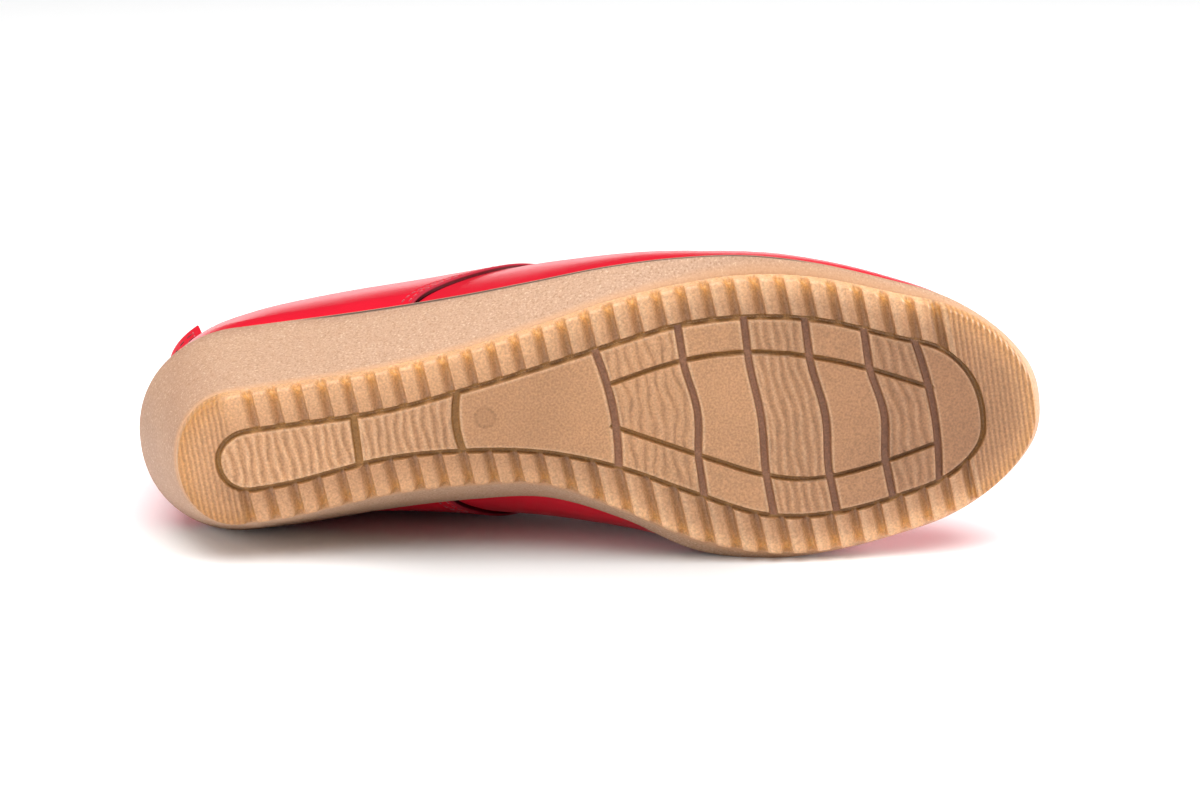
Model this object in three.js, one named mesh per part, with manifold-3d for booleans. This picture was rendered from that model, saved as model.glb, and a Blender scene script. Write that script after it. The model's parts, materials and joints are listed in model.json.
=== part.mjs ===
// Lace-up wedge shoe for the right foot, empty, lying on its inner side.
// Lengths are in millimetres. The shoe is drawn standing on its tread and is then laid on its side.
// Shoe frame: X from heel to toe, Y from the outer (lateral) to the inner (medial) side, Z up from the tread.
import * as THREE from 'three';
import { mergeVertices } from 'three/addons/utils/BufferGeometryUtils.js';
import Module from 'manifold-3d';

const wasm = await Module();
wasm.setup();

// Sole: lengths and thicknesses
const SOLE_LENGTH = 256.6;
const TREAD_BACK = 11.6;
const TREAD_FRONT = 255.0;
const PLATE_THICKNESS = 4.0;
const SEAT_GAP = 0.3;
const TOE_SPRING = 10.0;
const SPRING_START = 180.0;
const HEEL_ROLL = 1.2;
const HEEL_ROLL_END = 26.0;
const LIP_DROP = 3.0;
const LIP_INSET = 1.2;
const WALL_FLARE_POWER = 0.85;
const WALL_SHARES = [0, 0.15, 0.4, 0.7, 1];
const LIP_SHARES = [0.7, 1];

// Sole: half outlines of the tread, of its pads and of the wedge's top edge, and that edge's height
const SOLE_ROWS = table(
  ['x', 'treadLateral', 'treadMedial', 'padLateral', 'padMedial', 'topLateral', 'topMedial', 'topHeight'],
  [
    [10, -18.2, 19.4, -7.0, 9.6, -27.8, 31.6, 41.4],
    [40, -20.0, 18.4, -8.7, 8.1, -29.6, 30.4, 39.6],
    [70, -22.4, 14.2, -10.6, 3.1, -32.7, 26.2, 33.3],
    [95, -26.3, 13.4, -15.1, 2.9, -36.3, 23.6, 26.8],
    [115, -30.9, 15.4, -19.5, 5.4, -39.9, 23.4, 21.3],
    [135, -36.0, 24.6, -24.2, 11.5, -43.5, 29.8, 16.1],
    [155, -39.2, 34.9, -28.3, 20.6, -45.4, 39.7, 11.8],
    [175, -40.2, 40.6, -28.8, 28.7, -45.0, 43.1, 9.2],
    [195, -37.4, 41.1, -25.8, 29.9, -40.9, 42.6, 8.8],
    [220, -29.6, 37.1, -17.4, 25.5, -32.3, 38.5, 8.8],
    [252, -20.0, 29.1, -9.4, 17.4, -20.4, 31.2, 8.8],
  ],
);

// Rounded ends of the tread, the top edge and the pad: reach of the round at each end and the two tips
const [TREAD_ENDS, TOP_ENDS, PAD_ENDS] = table(
  ['back', 'front', 'heelRound', 'toeRound', 'heelTip', 'toeTip'],
  [
    [TREAD_BACK, TREAD_FRONT, 17, 33, 0.6, 7.5],
    [0, SOLE_LENGTH, 30, 37, 1.4, 7.5],
    [23.4, 238.7, 9, 18, 0, 9],
  ],
);
const HEEL_ROUND_POWER = 2.1;
const TOE_ROUND_POWER = 2.3;

// Tread: the pad groove, its cross and long grooves, and the ribs of the rim
const GROOVE_WIDTHS = { round: 1.5, cross: 2.1, long: 1.4 };
const GROOVE_DEPTH = 1.8;
const CROSS_ROWS = table(
  ['lateralX', 'medialX'],
  [
    [61.8, 62.5],
    [91.1, 91.4],
    [130.0, 134.5],
    [153.5, 158.0],
    [172.0, 177.3],
    [188.9, 195.3],
    [205.5, 211.5],
    [219.7, 225.1],
  ],
);
const LONG_ROWS = table(
  ['x', 'lateralY', 'medialY'],
  [
    [133.6, -13.0, -0.8],
    [148.5, -16.9, 5.8],
    [162.2, -18.8, 11.8],
    [175.0, -18.6, 16.9],
    [188.6, -16.4, 19.4],
    [204.0, -11.8, 17.7],
    [224.0, -3.4, 13.1],
  ],
);
const RIB_PITCH = 6.94;
const RIB_SLANT = Math.tan(THREE.MathUtils.degToRad(9.5));
const RIB_MOUTH = 3.0;
const RIB_FLOOR = 1.2;
const RIB_DEPTH = 2.3;
const RIB_OVERRUN = 4.0;
const LATERAL_RIBS = { count: 29, firstX: 35.9 };
const MEDIAL_RIBS = { count: 30, firstX: 27.9 };

// Upper: the wall, and the step where the quarters lie over the vamp
const WALL = 2.3;
const QUARTER_STEP = 1.3;
const QUARTER_STEP_AT_FOOT = 0.7;
const FOOT_INSET = 1.8;
const FOOT_ZONE = 0.12;

// Upper: one row for each rib of the last, from the middle of the heel along the lateral side to the toe and
// back along the medial side. Each rib is a cubic curve from the feather edge over a low and a high control
// point to the rim of the opening.
const UPPER_ROWS = table(
  ['feather', 'side', 'lowX', 'lowY', 'lowZ', 'highX', 'highY', 'highZ', 'rimX', 'rimY', 'rimZ'],
  [
    [0, -1, 3.6, 1.2, 60, 8.6, 1.5, 86, 10.5, 2, 110],
    [14, -1, 15.5, -19.8, 60, 18.5, -14.2, 86, 19, -9.2, 107.5],
    [34, -1, 34, -28.9, 60, 35, -20.9, 84, 34, -14.2, 104],
    [60, -1, 60, -32.6, 60, 58, -25, 84, 56, -18.2, 103],
    [86, -1, 86, -36, 56, 80, -27.5, 84, 80, -19, 106],
    [108, -1, 108, -39.5, 50, 100, -30, 84, 99, -16.5, 111],
    [128, -1, 128, -44, 44, 117, -31, 83, 111, -10.5, 115],
    [148, -1, 148, -46.5, 38, 140, -34, 70, 127, -9.5, 99],
    [168, -1, 168, -45.5, 33, 160, -34, 62, 143, -8.5, 83],
    [190, -1, 191, -43.5, 32, 178, -31, 55, 154, -6.5, 73.5],
    [214, -1, 217, -37, 34, 196, -20, 48, 159, -3.6, 70],
    [238, -1, 244, -22, 38, 205, -6, 46, 161, -0.8, 69],
    [256.6, 1, 260, 7.6, 42, 208, 5, 46, 161.5, 1.2, 68.8],
    [238, 1, 244, 34, 38, 205, 15, 46, 161, 3.2, 69],
    [214, 1, 217, 44, 34, 196, 25, 48, 159, 6, 70],
    [190, 1, 191, 46, 31, 178, 32, 55, 154, 8.5, 73.5],
    [168, 1, 168, 46, 30, 160, 34, 62, 143, 10, 83],
    [148, 1, 148, 48.5, 31, 140, 35, 70, 127, 11, 99],
    [128, 1, 128, 49.5, 34, 118, 34, 82, 111, 12.5, 115],
    [108, 1, 108, 46, 38, 102, 35.5, 82, 99, 23, 111],
    [86, 1, 86, 40.5, 44, 82, 34, 84, 80, 31.5, 106],
    [60, 1, 60, 35, 51, 60, 32, 84, 56, 31, 103],
    [34, 1, 34, 30, 59, 36, 29, 84, 34, 26.5, 104],
    [14, 1, 15.5, 22, 60, 18.5, 19, 86, 19, 16, 107],
  ],
);
const ROW_COUNT = UPPER_ROWS.length;
const TOE_ROW = ROW_COUNT / 2;
const LATERAL_SEAM = { foot: 3.8, rim: 8.75 };
const MEDIAL_SEAM = { foot: 4.05, rim: 8.75 };
const SEAM_BEND = 1.6;
const SEAM_COLUMN = 6.2;
const COLUMNS_BEHIND_SEAM = 19;
const COLUMNS_BEFORE_SEAM = 20;
const UPPER_LEVELS = 13;

// Insole
const INSOLE_INSET = 5.2;
const INSOLE_THICKNESS = 3.0;

// Heel strap
const STRAP_THICKNESS = 1.1;
const STRAP_FOOT_EDGES = { lateral: 0.42, medial: -0.42 };
const STRAP_RIM_EDGES = { lateral: 0.95, medial: -0.6 };
const STRAP_TAB_FLARE = 0.25;
const STRAP_TAB = 10.4;
const STRAP_FOOT = 0.03;
const STRAP_LEVELS = 12;
const STRAP_COLUMNS = 6;

// Tongue: under the throat, from behind the vamp to above the facings
const TONGUE_THICKNESS = 2.2;
const TONGUE_CLEARANCE_BELOW = 0.9;
const TONGUE_CLEARANCE_ABOVE = 2.4;
const TONGUE_BOTTOM_ROW = 9.0;
const TONGUE_TOP_ROW = 6.4;
const TONGUE_TUCK = 11.0;
const TONGUE_RISE = 18.0;
const TONGUE_LEVELS = 8;
const TONGUE_COLUMNS = 12;
const TONGUE_HALF_BELOW = 0.86;
const TONGUE_HALF_ABOVE = 0.66;

// Eyelets and lace
const EYELETS_PER_SIDE = 5;
const EYELET_LOWEST_ROW = 8.45;
const EYELET_HIGHEST_ROW = 6.3;
const EYELET_PLACE = 0.925;
const EYELET_OUTER = 4.2;
const EYELET_INNER = 2.2;
const EYELET_THICKNESS = 1.1;
const EYELET_SIDES = 12;
const LACE_RADIUS = 1.5;
const LACE_SIDES = 6;
const LACE_STEPS = 5;
const LACE_REACH = 0.42;
const LACE_CLEARANCE = 0.6;
const LACE_LIFT = QUARTER_STEP + SEAT_GAP + EYELET_THICKNESS + LACE_CLEARANCE + LACE_RADIUS;

// Places across the throat, from lateral to medial, where the bridge over it takes its points from the upper
const BRIDGE_KNOTS = [
  { place: -1, side: -1, level: 0.7 },
  { place: -0.8, side: -1, level: 0.78 },
  { place: -0.6, side: -1, level: 0.86 },
  { place: -0.43, side: -1, level: 0.93 },
  { place: -0.26, side: -1, level: 1 },
  { place: 0.26, side: 1, level: 1 },
  { place: 0.43, side: 1, level: 0.93 },
  { place: 0.6, side: 1, level: 0.86 },
  { place: 0.8, side: 1, level: 0.78 },
  { place: 1, side: 1, level: 0.7 },
];

// Stations of the outlines, steps for slopes, and how close points are joined
const LOOP_STATIONS = 40;
const PAD_STATIONS = 18;
const SLOPE_ANGLE = 0.01;
const SLOPE_STEP = 0.02;
const JOIN_TOLERANCE = 1e-4;
const SETTLING_ROUNDS = 8;

const LEATHER = { color: 0xc8102e, roughness: 0.35, metalness: 0 };
const WEDGE_RUBBER = { color: 0xd8b288, roughness: 0.7, metalness: 0 };
const TREAD_RUBBER = { color: 0xcf9f68, roughness: 0.55, metalness: 0 };
const SOCK_LEATHER = { color: 0xc9a986, roughness: 0.7, metalness: 0 };
const EYELET_METAL = { color: 0x8d1a22, roughness: 0.4, metalness: 0.6 };
const LACE_COTTON = { color: 0xa31020, roughness: 0.85, metalness: 0 };

// A table's rows as objects with named columns
function table(columns, rows) {
  return rows.map((row) => Object.fromEntries(columns.map((name, i) => [name, row[i]])));
}

// Cubic curve with smooth joints through knots (at, value), flat past both ends
function smoothThrough(knots, at) {
  const last = knots.length - 1;
  if (at <= knots[0].at) return knots[0].value;
  if (at >= knots[last].at) return knots[last].value;
  let i = 0;
  while (knots[i + 1].at < at) i += 1;
  const slope = (k) => {
    const a = knots[Math.max(k - 1, 0)];
    const b = knots[Math.min(k + 1, last)];
    return (b.value - a.value) / (b.at - a.at);
  };
  const [a, b] = [knots[i], knots[i + 1]];
  const span = b.at - a.at;
  const t = (at - a.at) / span;
  const t2 = t * t;
  const t3 = t2 * t;
  return (2 * t3 - 3 * t2 + 1) * a.value + (t3 - 2 * t2 + t) * span * slope(i)
    + (3 * t2 - 2 * t3) * b.value + (t3 - t2) * span * slope(i + 1);
}

function soleColumn(name, x) {
  return smoothThrough(SOLE_ROWS.map((row) => ({ at: row.x, value: row[name] })), x);
}

// Height of the tread over the ground: the toe spring and the rolled back of the heel
function groundLift(x) {
  const toe = Math.max(0, (x - SPRING_START) / (SOLE_LENGTH - SPRING_START));
  const heel = Math.max(0, (HEEL_ROLL_END - x) / (HEEL_ROLL_END - TREAD_BACK));
  return TOE_SPRING * toe * toe + HEEL_ROLL * heel * heel;
}

// Height of the wedge's top edge, which carries the upper and the insole
function seatHeight(x) {
  const toe = Math.max(0, (x - SPRING_START) / (SOLE_LENGTH - SPRING_START));
  return soleColumn('topHeight', x) + TOE_SPRING * toe * toe;
}

function roundedEnd(share, power) {
  if (share >= 1) return 1;
  return Math.pow(1 - Math.pow(1 - Math.max(share, 0), power), 1 / power);
}

// Point of a closed outline at an angle: 0 is the heel tip, a half turn the toe tip, lateral side first
function outlinePoint(ends, lateral, medial, angle) {
  const x = ends.back + (ends.front - ends.back) * (1 - Math.cos(angle)) / 2;
  const heel = roundedEnd((x - ends.back) / ends.heelRound, HEEL_ROUND_POWER);
  const toe = roundedEnd((ends.front - x) / ends.toeRound, TOE_ROUND_POWER);
  const tip = THREE.MathUtils.lerp(ends.heelTip, ends.toeTip, (x - ends.back) / (ends.front - ends.back));
  const side = Math.sin(angle) >= 0 ? lateral(x) : medial(x);
  return new THREE.Vector2(x, tip + (side - tip) * heel * toe);
}

const treadPoint = (angle) => outlinePoint(
  TREAD_ENDS,
  (x) => soleColumn('treadLateral', x),
  (x) => soleColumn('treadMedial', x),
  angle,
);
const topPoint = (angle) => outlinePoint(
  TOP_ENDS,
  (x) => soleColumn('topLateral', x),
  (x) => soleColumn('topMedial', x),
  angle,
);
const padPoint = (angle) => outlinePoint(
  PAD_ENDS,
  (x) => soleColumn('padLateral', x),
  (x) => soleColumn('padMedial', x),
  angle,
);

// The same outline moved inwards along its normal
function insetPoint(outline, angle, inset) {
  const along = outline(angle + SLOPE_ANGLE).sub(outline(angle - SLOPE_ANGLE)).normalize();
  return outline(angle).add(new THREE.Vector2(-along.y, along.x).multiplyScalar(inset));
}

function outlineLoop(outline, stations, inset = 0) {
  const count = 2 * stations;
  return Array.from({ length: count }, (_, k) => {
    const angle = Math.PI * k / stations;
    return inset ? insetPoint(outline, angle, inset) : outline(angle);
  });
}

// A closed geometry from points and triangles, its faces turned outwards
function closedGeometry(points, triangles) {
  const geometry = new THREE.BufferGeometry();
  const coordinates = points.flatMap((p) => p.toArray());
  geometry.setAttribute('position', new THREE.Float32BufferAttribute(coordinates, 3));
  let volume = 0;
  for (const [a, b, c] of triangles) {
    volume += points[a].dot(new THREE.Vector3().crossVectors(points[b], points[c]));
  }
  const faces = volume > 0 ? triangles : triangles.map(([a, b, c]) => [a, c, b]);
  geometry.setIndex(faces.flat());
  geometry.computeVertexNormals();
  return geometry;
}

// A solid of stacked loops, closed by strips from side to side at its bottom and top
function stackedLoops(loops) {
  const count = loops[0].length;
  const half = count / 2;
  const points = loops.flat();
  const triangles = [];
  for (let level = 0; level + 1 < loops.length; level += 1) {
    for (let k = 0; k < count; k += 1) {
      const next = (k + 1) % count;
      const [a, b] = [level * count + k, level * count + next];
      triangles.push([a, b, b + count], [a, b + count, a + count]);
    }
  }
  for (const [base, turned] of [[0, true], [(loops.length - 1) * count, false]]) {
    for (let i = 0; i < half; i += 1) {
      const [a, b] = [base + i, base + i + 1];
      const [c, d] = [base + (count - i) % count, base + (count - i - 1) % count];
      const faces = [];
      if (b !== d) faces.push([a, b, d]);
      if (a !== c) faces.push([a, d, c]);
      triangles.push(...faces.map((f) => (turned ? [f[0], f[2], f[1]] : f)));
    }
  }
  return closedGeometry(points, triangles);
}

// A ring-shaped or open-ended solid swept through closed sections of equal point count
function sweptSections(sections, ring) {
  const count = sections[0].length;
  const points = sections.flat();
  const triangles = [];
  const spans = ring ? sections.length : sections.length - 1;
  for (let i = 0; i < spans; i += 1) {
    const [here, there] = [i * count, ((i + 1) % sections.length) * count];
    for (let k = 0; k < count; k += 1) {
      const next = (k + 1) % count;
      triangles.push([here + k, here + next, there + next], [here + k, there + next, there + k]);
    }
  }
  if (!ring) {
    const end = (sections.length - 1) * count;
    for (let k = 1; k + 1 < count; k += 1) {
      triangles.push([0, k + 1, k], [end, end + k, end + k + 1]);
    }
  }
  return closedGeometry(points, triangles);
}

// A slab between two grids of points, rows by columns, closed round its edge
function slab(outer, inner) {
  const [rows, columns] = [outer.length, outer[0].length];
  const points = [...outer.flat(), ...inner.flat()];
  const below = rows * columns;
  const triangles = [];
  for (let r = 0; r + 1 < rows; r += 1) {
    for (let c = 0; c + 1 < columns; c += 1) {
      const a = r * columns + c;
      const [b, d, e] = [a + 1, a + columns, a + columns + 1];
      triangles.push([a, b, e], [a, e, d]);
      triangles.push([below + a, below + e, below + b], [below + a, below + d, below + e]);
    }
  }
  const edge = [];
  for (let c = 0; c < columns - 1; c += 1) edge.push(c);
  for (let r = 0; r < rows - 1; r += 1) edge.push(r * columns + columns - 1);
  for (let c = columns - 1; c > 0; c -= 1) edge.push((rows - 1) * columns + c);
  for (let r = rows - 1; r > 0; r -= 1) edge.push(r * columns);
  edge.forEach((a, i) => {
    const b = edge[(i + 1) % edge.length];
    triangles.push([a, below + b, b], [a, below + a, below + b]);
  });
  return closedGeometry(points, triangles);
}

function toSolid(geometry) {
  const bare = geometry.clone();
  bare.deleteAttribute('normal');
  bare.deleteAttribute('uv');
  const merged = mergeVertices(bare, JOIN_TOLERANCE);
  return new wasm.Manifold(new wasm.Mesh({
    numProp: 3,
    vertProperties: new Float32Array(merged.attributes.position.array),
    triVerts: new Uint32Array(merged.index.array),
  }));
}

function toGeometry(solid) {
  const mesh = solid.getMesh();
  const geometry = new THREE.BufferGeometry();
  geometry.setAttribute('position', new THREE.Float32BufferAttribute(mesh.vertProperties, 3));
  geometry.setIndex(Array.from(mesh.triVerts));
  geometry.computeVertexNormals();
  return geometry;
}

function joined(geometries) {
  return geometries.map(toSolid).reduce((all, next) => all.add(next));
}

// A groove's cutter along points of the tread, from below the tread up to the groove's floor
function grooveCutter(path, width, ring) {
  const last = path.length - 1;
  const sections = path.map((point, i) => {
    const before = ring ? path[(i + last) % path.length] : path[Math.max(i - 1, 0)];
    const after = ring ? path[(i + 1) % path.length] : path[Math.min(i + 1, last)];
    const along = after.clone().sub(before).normalize();
    const across = new THREE.Vector2(-along.y, along.x).multiplyScalar(width / 2);
    const corner = (sign, z) => new THREE.Vector3(point.x + sign * across.x, point.y + sign * across.y, z);
    return [
      corner(-1, -GROOVE_DEPTH),
      corner(1, -GROOVE_DEPTH),
      corner(1, GROOVE_DEPTH),
      corner(-1, GROOVE_DEPTH),
    ];
  });
  return sweptSections(sections, ring);
}

// Edge of the pad at a place along the shoe
function padSide(x, medial) {
  const turn = Math.acos(1 - 2 * (x - PAD_ENDS.back) / (PAD_ENDS.front - PAD_ENDS.back));
  return padPoint(medial ? 2 * Math.PI - turn : turn);
}

function crossGrooves() {
  return CROSS_ROWS.map((row) => {
    const path = [padSide(row.lateralX, false), padSide(row.medialX, true)];
    return grooveCutter(path, GROOVE_WIDTHS.cross, false);
  });
}

function longGrooves() {
  return ['lateralY', 'medialY'].map((side) => grooveCutter(
    LONG_ROWS.map((row) => new THREE.Vector2(row.x, row[side])),
    GROOVE_WIDTHS.long,
    false,
  ));
}

// One rib's valley: wide at the tread, narrow at its floor, from the pad groove out past the tread's edge
function ribCutter(firstX, index, medial) {
  const sign = medial ? 1 : -1;
  const middle = firstX + index * RIB_PITCH;
  const innerY = soleColumn(medial ? 'padMedial' : 'padLateral', middle);
  const outerY = soleColumn(medial ? 'treadMedial' : 'treadLateral', middle) + sign * RIB_OVERRUN;
  const below = 2 * RIB_MOUTH - RIB_FLOOR;
  const section = (y) => {
    const x = middle + RIB_SLANT * y;
    return [
      new THREE.Vector3(x - below / 2, y, -RIB_DEPTH),
      new THREE.Vector3(x + below / 2, y, -RIB_DEPTH),
      new THREE.Vector3(x + RIB_FLOOR / 2, y, RIB_DEPTH),
      new THREE.Vector3(x - RIB_FLOOR / 2, y, RIB_DEPTH),
    ];
  };
  return sweptSections([section(innerY), section(outerY)], false);
}

function ribs({ count, firstX }, medial) {
  return Array.from({ length: count }, (_, i) => ribCutter(firstX, i, medial));
}

function buildOutsole() {
  const loop = outlineLoop(treadPoint, LOOP_STATIONS);
  const at = (z) => loop.map((p) => new THREE.Vector3(p.x, p.y, z));
  const cuts = [
    grooveCutter(outlineLoop(padPoint, PAD_STATIONS), GROOVE_WIDTHS.round, true),
    ...crossGrooves(),
    ...longGrooves(),
    ...ribs(LATERAL_RIBS, false),
    ...ribs(MEDIAL_RIBS, true),
  ];
  const flat = toSolid(stackedLoops([at(0), at(PLATE_THICKNESS)])).subtract(joined(cuts));
  const geometry = toGeometry(flat);
  const position = geometry.attributes.position;
  for (let i = 0; i < position.count; i += 1) {
    position.setZ(i, position.getZ(i) + groundLift(position.getX(i)));
  }
  return geometry;
}

// The wedge: its side flares from the tread's outline to the top outline and ends in a rounded lip
function buildWedge() {
  const tread = outlineLoop(treadPoint, LOOP_STATIONS);
  const top = outlineLoop(topPoint, LOOP_STATIONS);
  const lip = outlineLoop(topPoint, LOOP_STATIONS, LIP_INSET);
  const level = (share) => tread.map((low, k) => {
    const plan = low.clone().lerp(top[k], Math.pow(share, WALL_FLARE_POWER));
    const bottom = groundLift(low.x) + PLATE_THICKNESS + SEAT_GAP;
    const lipStart = seatHeight(top[k].x) - LIP_DROP;
    return new THREE.Vector3(plan.x, plan.y, THREE.MathUtils.lerp(bottom, lipStart, share));
  });
  const rim = (share) => top.map((edge, k) => {
    const plan = edge.clone().lerp(lip[k], 1 - Math.sqrt(1 - share * share));
    return new THREE.Vector3(plan.x, plan.y, seatHeight(plan.x) - LIP_DROP * (1 - share));
  });
  return stackedLoops([...WALL_SHARES.map(level), ...LIP_SHARES.map(rim)]);
}

function buildInsole() {
  const loop = outlineLoop(topPoint, LOOP_STATIONS, INSOLE_INSET);
  const at = (z) => loop.map((p) => new THREE.Vector3(p.x, p.y, seatHeight(p.x) + z));
  return stackedLoops([at(SEAT_GAP), at(SEAT_GAP + INSOLE_THICKNESS)]);
}

// Angle of a rib's foot round the feather edge
function featherAngle(row) {
  const turn = Math.acos(1 - 2 * row.feather / SOLE_LENGTH);
  return row.side < 0 ? turn : 2 * Math.PI - turn;
}

const ROW_ANGLES = UPPER_ROWS.map(featherAngle);

// Smooth value between the rows of the upper, going round and round
function betweenRows(valueOf, place) {
  const i = Math.floor(place);
  const t = place - i;
  const at = (k) => valueOf(((k % ROW_COUNT) + ROW_COUNT) % ROW_COUNT, Math.floor(k / ROW_COUNT));
  const [a, b, c, d] = [at(i - 1), at(i), at(i + 1), at(i + 2)];
  return b + 0.5 * t * (c - a + t * (2 * a - 5 * b + 4 * c - d + t * (3 * (b - c) + d - a)));
}

// Point of the last's surface at a place round the shoe and a level from feather edge (0) to rim (1)
function lastPoint(place, level) {
  const angle = betweenRows((k, turns) => ROW_ANGLES[k] + turns * 2 * Math.PI, place);
  const foot = insetPoint(topPoint, angle, FOOT_INSET);
  const part = (name) => betweenRows((k) => UPPER_ROWS[k][name], place);
  const knots = [
    new THREE.Vector3(foot.x, foot.y, seatHeight(foot.x) + SEAT_GAP),
    new THREE.Vector3(part('lowX'), part('lowY'), part('lowZ')),
    new THREE.Vector3(part('highX'), part('highY'), part('highZ')),
    new THREE.Vector3(part('rimX'), part('rimY'), part('rimZ')),
  ];
  return new THREE.CubicBezierCurve3(...knots).getPoint(level);
}

// Outward normal there, level with the ground at the feather edge so that the foot stays on its seat
function lastNormal(place, level) {
  const [low, high] = [Math.max(level - SLOPE_STEP, 0), Math.min(level + SLOPE_STEP, 1)];
  const round = lastPoint(place + SLOPE_STEP, level).sub(lastPoint(place - SLOPE_STEP, level));
  const up = lastPoint(place, high).sub(lastPoint(place, low));
  const normal = round.cross(up);
  normal.z *= Math.min(1, level / FOOT_ZONE);
  return normal.normalize();
}

function lastOffset(place, level, distance) {
  return lastPoint(place, level).addScaledVector(lastNormal(place, level), distance);
}

// Place on the last of a column of the wall: columns lean so that one of them runs along each quarter's edge
function columnPlace(column, level) {
  const medial = column > TOE_ROW;
  const seam = medial ? MEDIAL_SEAM : LATERAL_SEAM;
  const fromHeel = medial ? ROW_COUNT - column : column;
  const edge = THREE.MathUtils.lerp(seam.foot, seam.rim, Math.pow(level, SEAM_BEND));
  const place = fromHeel <= SEAM_COLUMN
    ? fromHeel * edge / SEAM_COLUMN
    : TOE_ROW - (TOE_ROW - fromHeel) * (TOE_ROW - edge) / (TOE_ROW - SEAM_COLUMN);
  return medial ? ROW_COUNT - place : place;
}

function quarterStep(level) {
  return THREE.MathUtils.lerp(QUARTER_STEP_AT_FOOT, QUARTER_STEP, Math.min(1, level / FOOT_ZONE));
}

// Columns of the wall from the heel round to the heel, two of them at each quarter's edge
function wallColumns() {
  const spread = (from, to, count, raised) => Array.from({ length: count + 1 }, (_, i) => ({
    column: THREE.MathUtils.lerp(from, to, i / count),
    raised,
  }));
  const lateral = spread(0, SEAM_COLUMN, COLUMNS_BEHIND_SEAM, true);
  const vampLateral = spread(SEAM_COLUMN, TOE_ROW, COLUMNS_BEFORE_SEAM, false);
  const vampMedial = spread(TOE_ROW, ROW_COUNT - SEAM_COLUMN, COLUMNS_BEFORE_SEAM, false);
  const medial = spread(ROW_COUNT - SEAM_COLUMN, ROW_COUNT, COLUMNS_BEHIND_SEAM, true);
  return [...lateral, ...vampLateral, ...vampMedial.slice(1), ...medial.slice(0, -1)];
}

function buildUpper() {
  const levels = Array.from({ length: UPPER_LEVELS }, (_, i) => i / (UPPER_LEVELS - 1));
  const sections = wallColumns().map(({ column, raised }) => {
    const side = (distance) => levels.map((level) => (
      lastOffset(columnPlace(column, level), level, distance(level))
    ));
    const outer = side((level) => (raised ? quarterStep(level) : 0));
    const inner = side(() => -WALL);
    return [...outer, ...inner.reverse()];
  });
  return sweptSections(sections, true);
}

// Heel strap: over the quarters at the back, with a tab above the rim
function buildHeelStrap() {
  const shares = Array.from({ length: STRAP_LEVELS }, (_, i) => i / (STRAP_LEVELS - 1));
  const across = Array.from({ length: STRAP_COLUMNS + 1 }, (_, i) => i / STRAP_COLUMNS);
  const grid = (lift) => {
    const place = (share, side) => THREE.MathUtils.lerp(
      THREE.MathUtils.lerp(STRAP_FOOT_EDGES.lateral, STRAP_RIM_EDGES.lateral, share),
      THREE.MathUtils.lerp(STRAP_FOOT_EDGES.medial, STRAP_RIM_EDGES.medial, share),
      side,
    );
    const rows = shares.map((share) => {
      const level = THREE.MathUtils.lerp(STRAP_FOOT, 1, share);
      const height = quarterStep(level) + SEAT_GAP + lift;
      return across.map((side) => lastOffset(place(share, side), level, height));
    });
    const below = rows[rows.length - 2];
    const tab = rows[rows.length - 1].map((p, i) => {
      const rise = p.clone().sub(below[i]).normalize();
      rise.addScaledVector(lastNormal(place(1, across[i]), 1), STRAP_TAB_FLARE);
      return p.clone().add(rise.setLength(STRAP_TAB));
    });
    return [...rows, tab];
  };
  return slab(grid(STRAP_THICKNESS), grid(0));
}

// Bridge over the throat: a smooth arch from facing to facing at a row, lifted off the last's surface
function bridgePoint(row, place, lift) {
  const knots = BRIDGE_KNOTS.map((knot) => ({
    at: knot.place,
    point: lastOffset(knot.side < 0 ? row : ROW_COUNT - row, knot.level, lift),
  }));
  const part = (axis) => smoothThrough(knots.map((k) => ({ at: k.at, value: k.point[axis] })), place);
  return new THREE.Vector3(part('x'), part('y'), part('z'));
}

function buildTongue() {
  const shares = Array.from({ length: TONGUE_LEVELS }, (_, i) => i / (TONGUE_LEVELS - 1));
  const across = Array.from({ length: TONGUE_COLUMNS + 1 }, (_, i) => 2 * i / TONGUE_COLUMNS - 1);
  const grid = (depth) => {
    const rows = shares.map((share) => {
      const row = THREE.MathUtils.lerp(TONGUE_BOTTOM_ROW, TONGUE_TOP_ROW, share);
      const half = THREE.MathUtils.lerp(TONGUE_HALF_BELOW, TONGUE_HALF_ABOVE, share);
      const clearance = THREE.MathUtils.lerp(TONGUE_CLEARANCE_BELOW, TONGUE_CLEARANCE_ABOVE, share);
      return across.map((side) => bridgePoint(row, side * half, -WALL - clearance - depth));
    });
    const onwards = (end, next, reach) => end.map((p, i) => {
      const rise = p.clone().sub(next[i]).setLength(reach);
      return p.clone().add(rise);
    });
    const tucked = onwards(rows[0], rows[1], TONGUE_TUCK);
    const risen = onwards(rows[rows.length - 1], rows[rows.length - 2], TONGUE_RISE);
    return [tucked, ...rows, risen];
  };
  return slab(grid(0), grid(TONGUE_THICKNESS));
}

// Place of an eyelet along the facing
function eyeletRow(index) {
  return THREE.MathUtils.lerp(EYELET_LOWEST_ROW, EYELET_HIGHEST_ROW, index / (EYELETS_PER_SIDE - 1));
}

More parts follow.
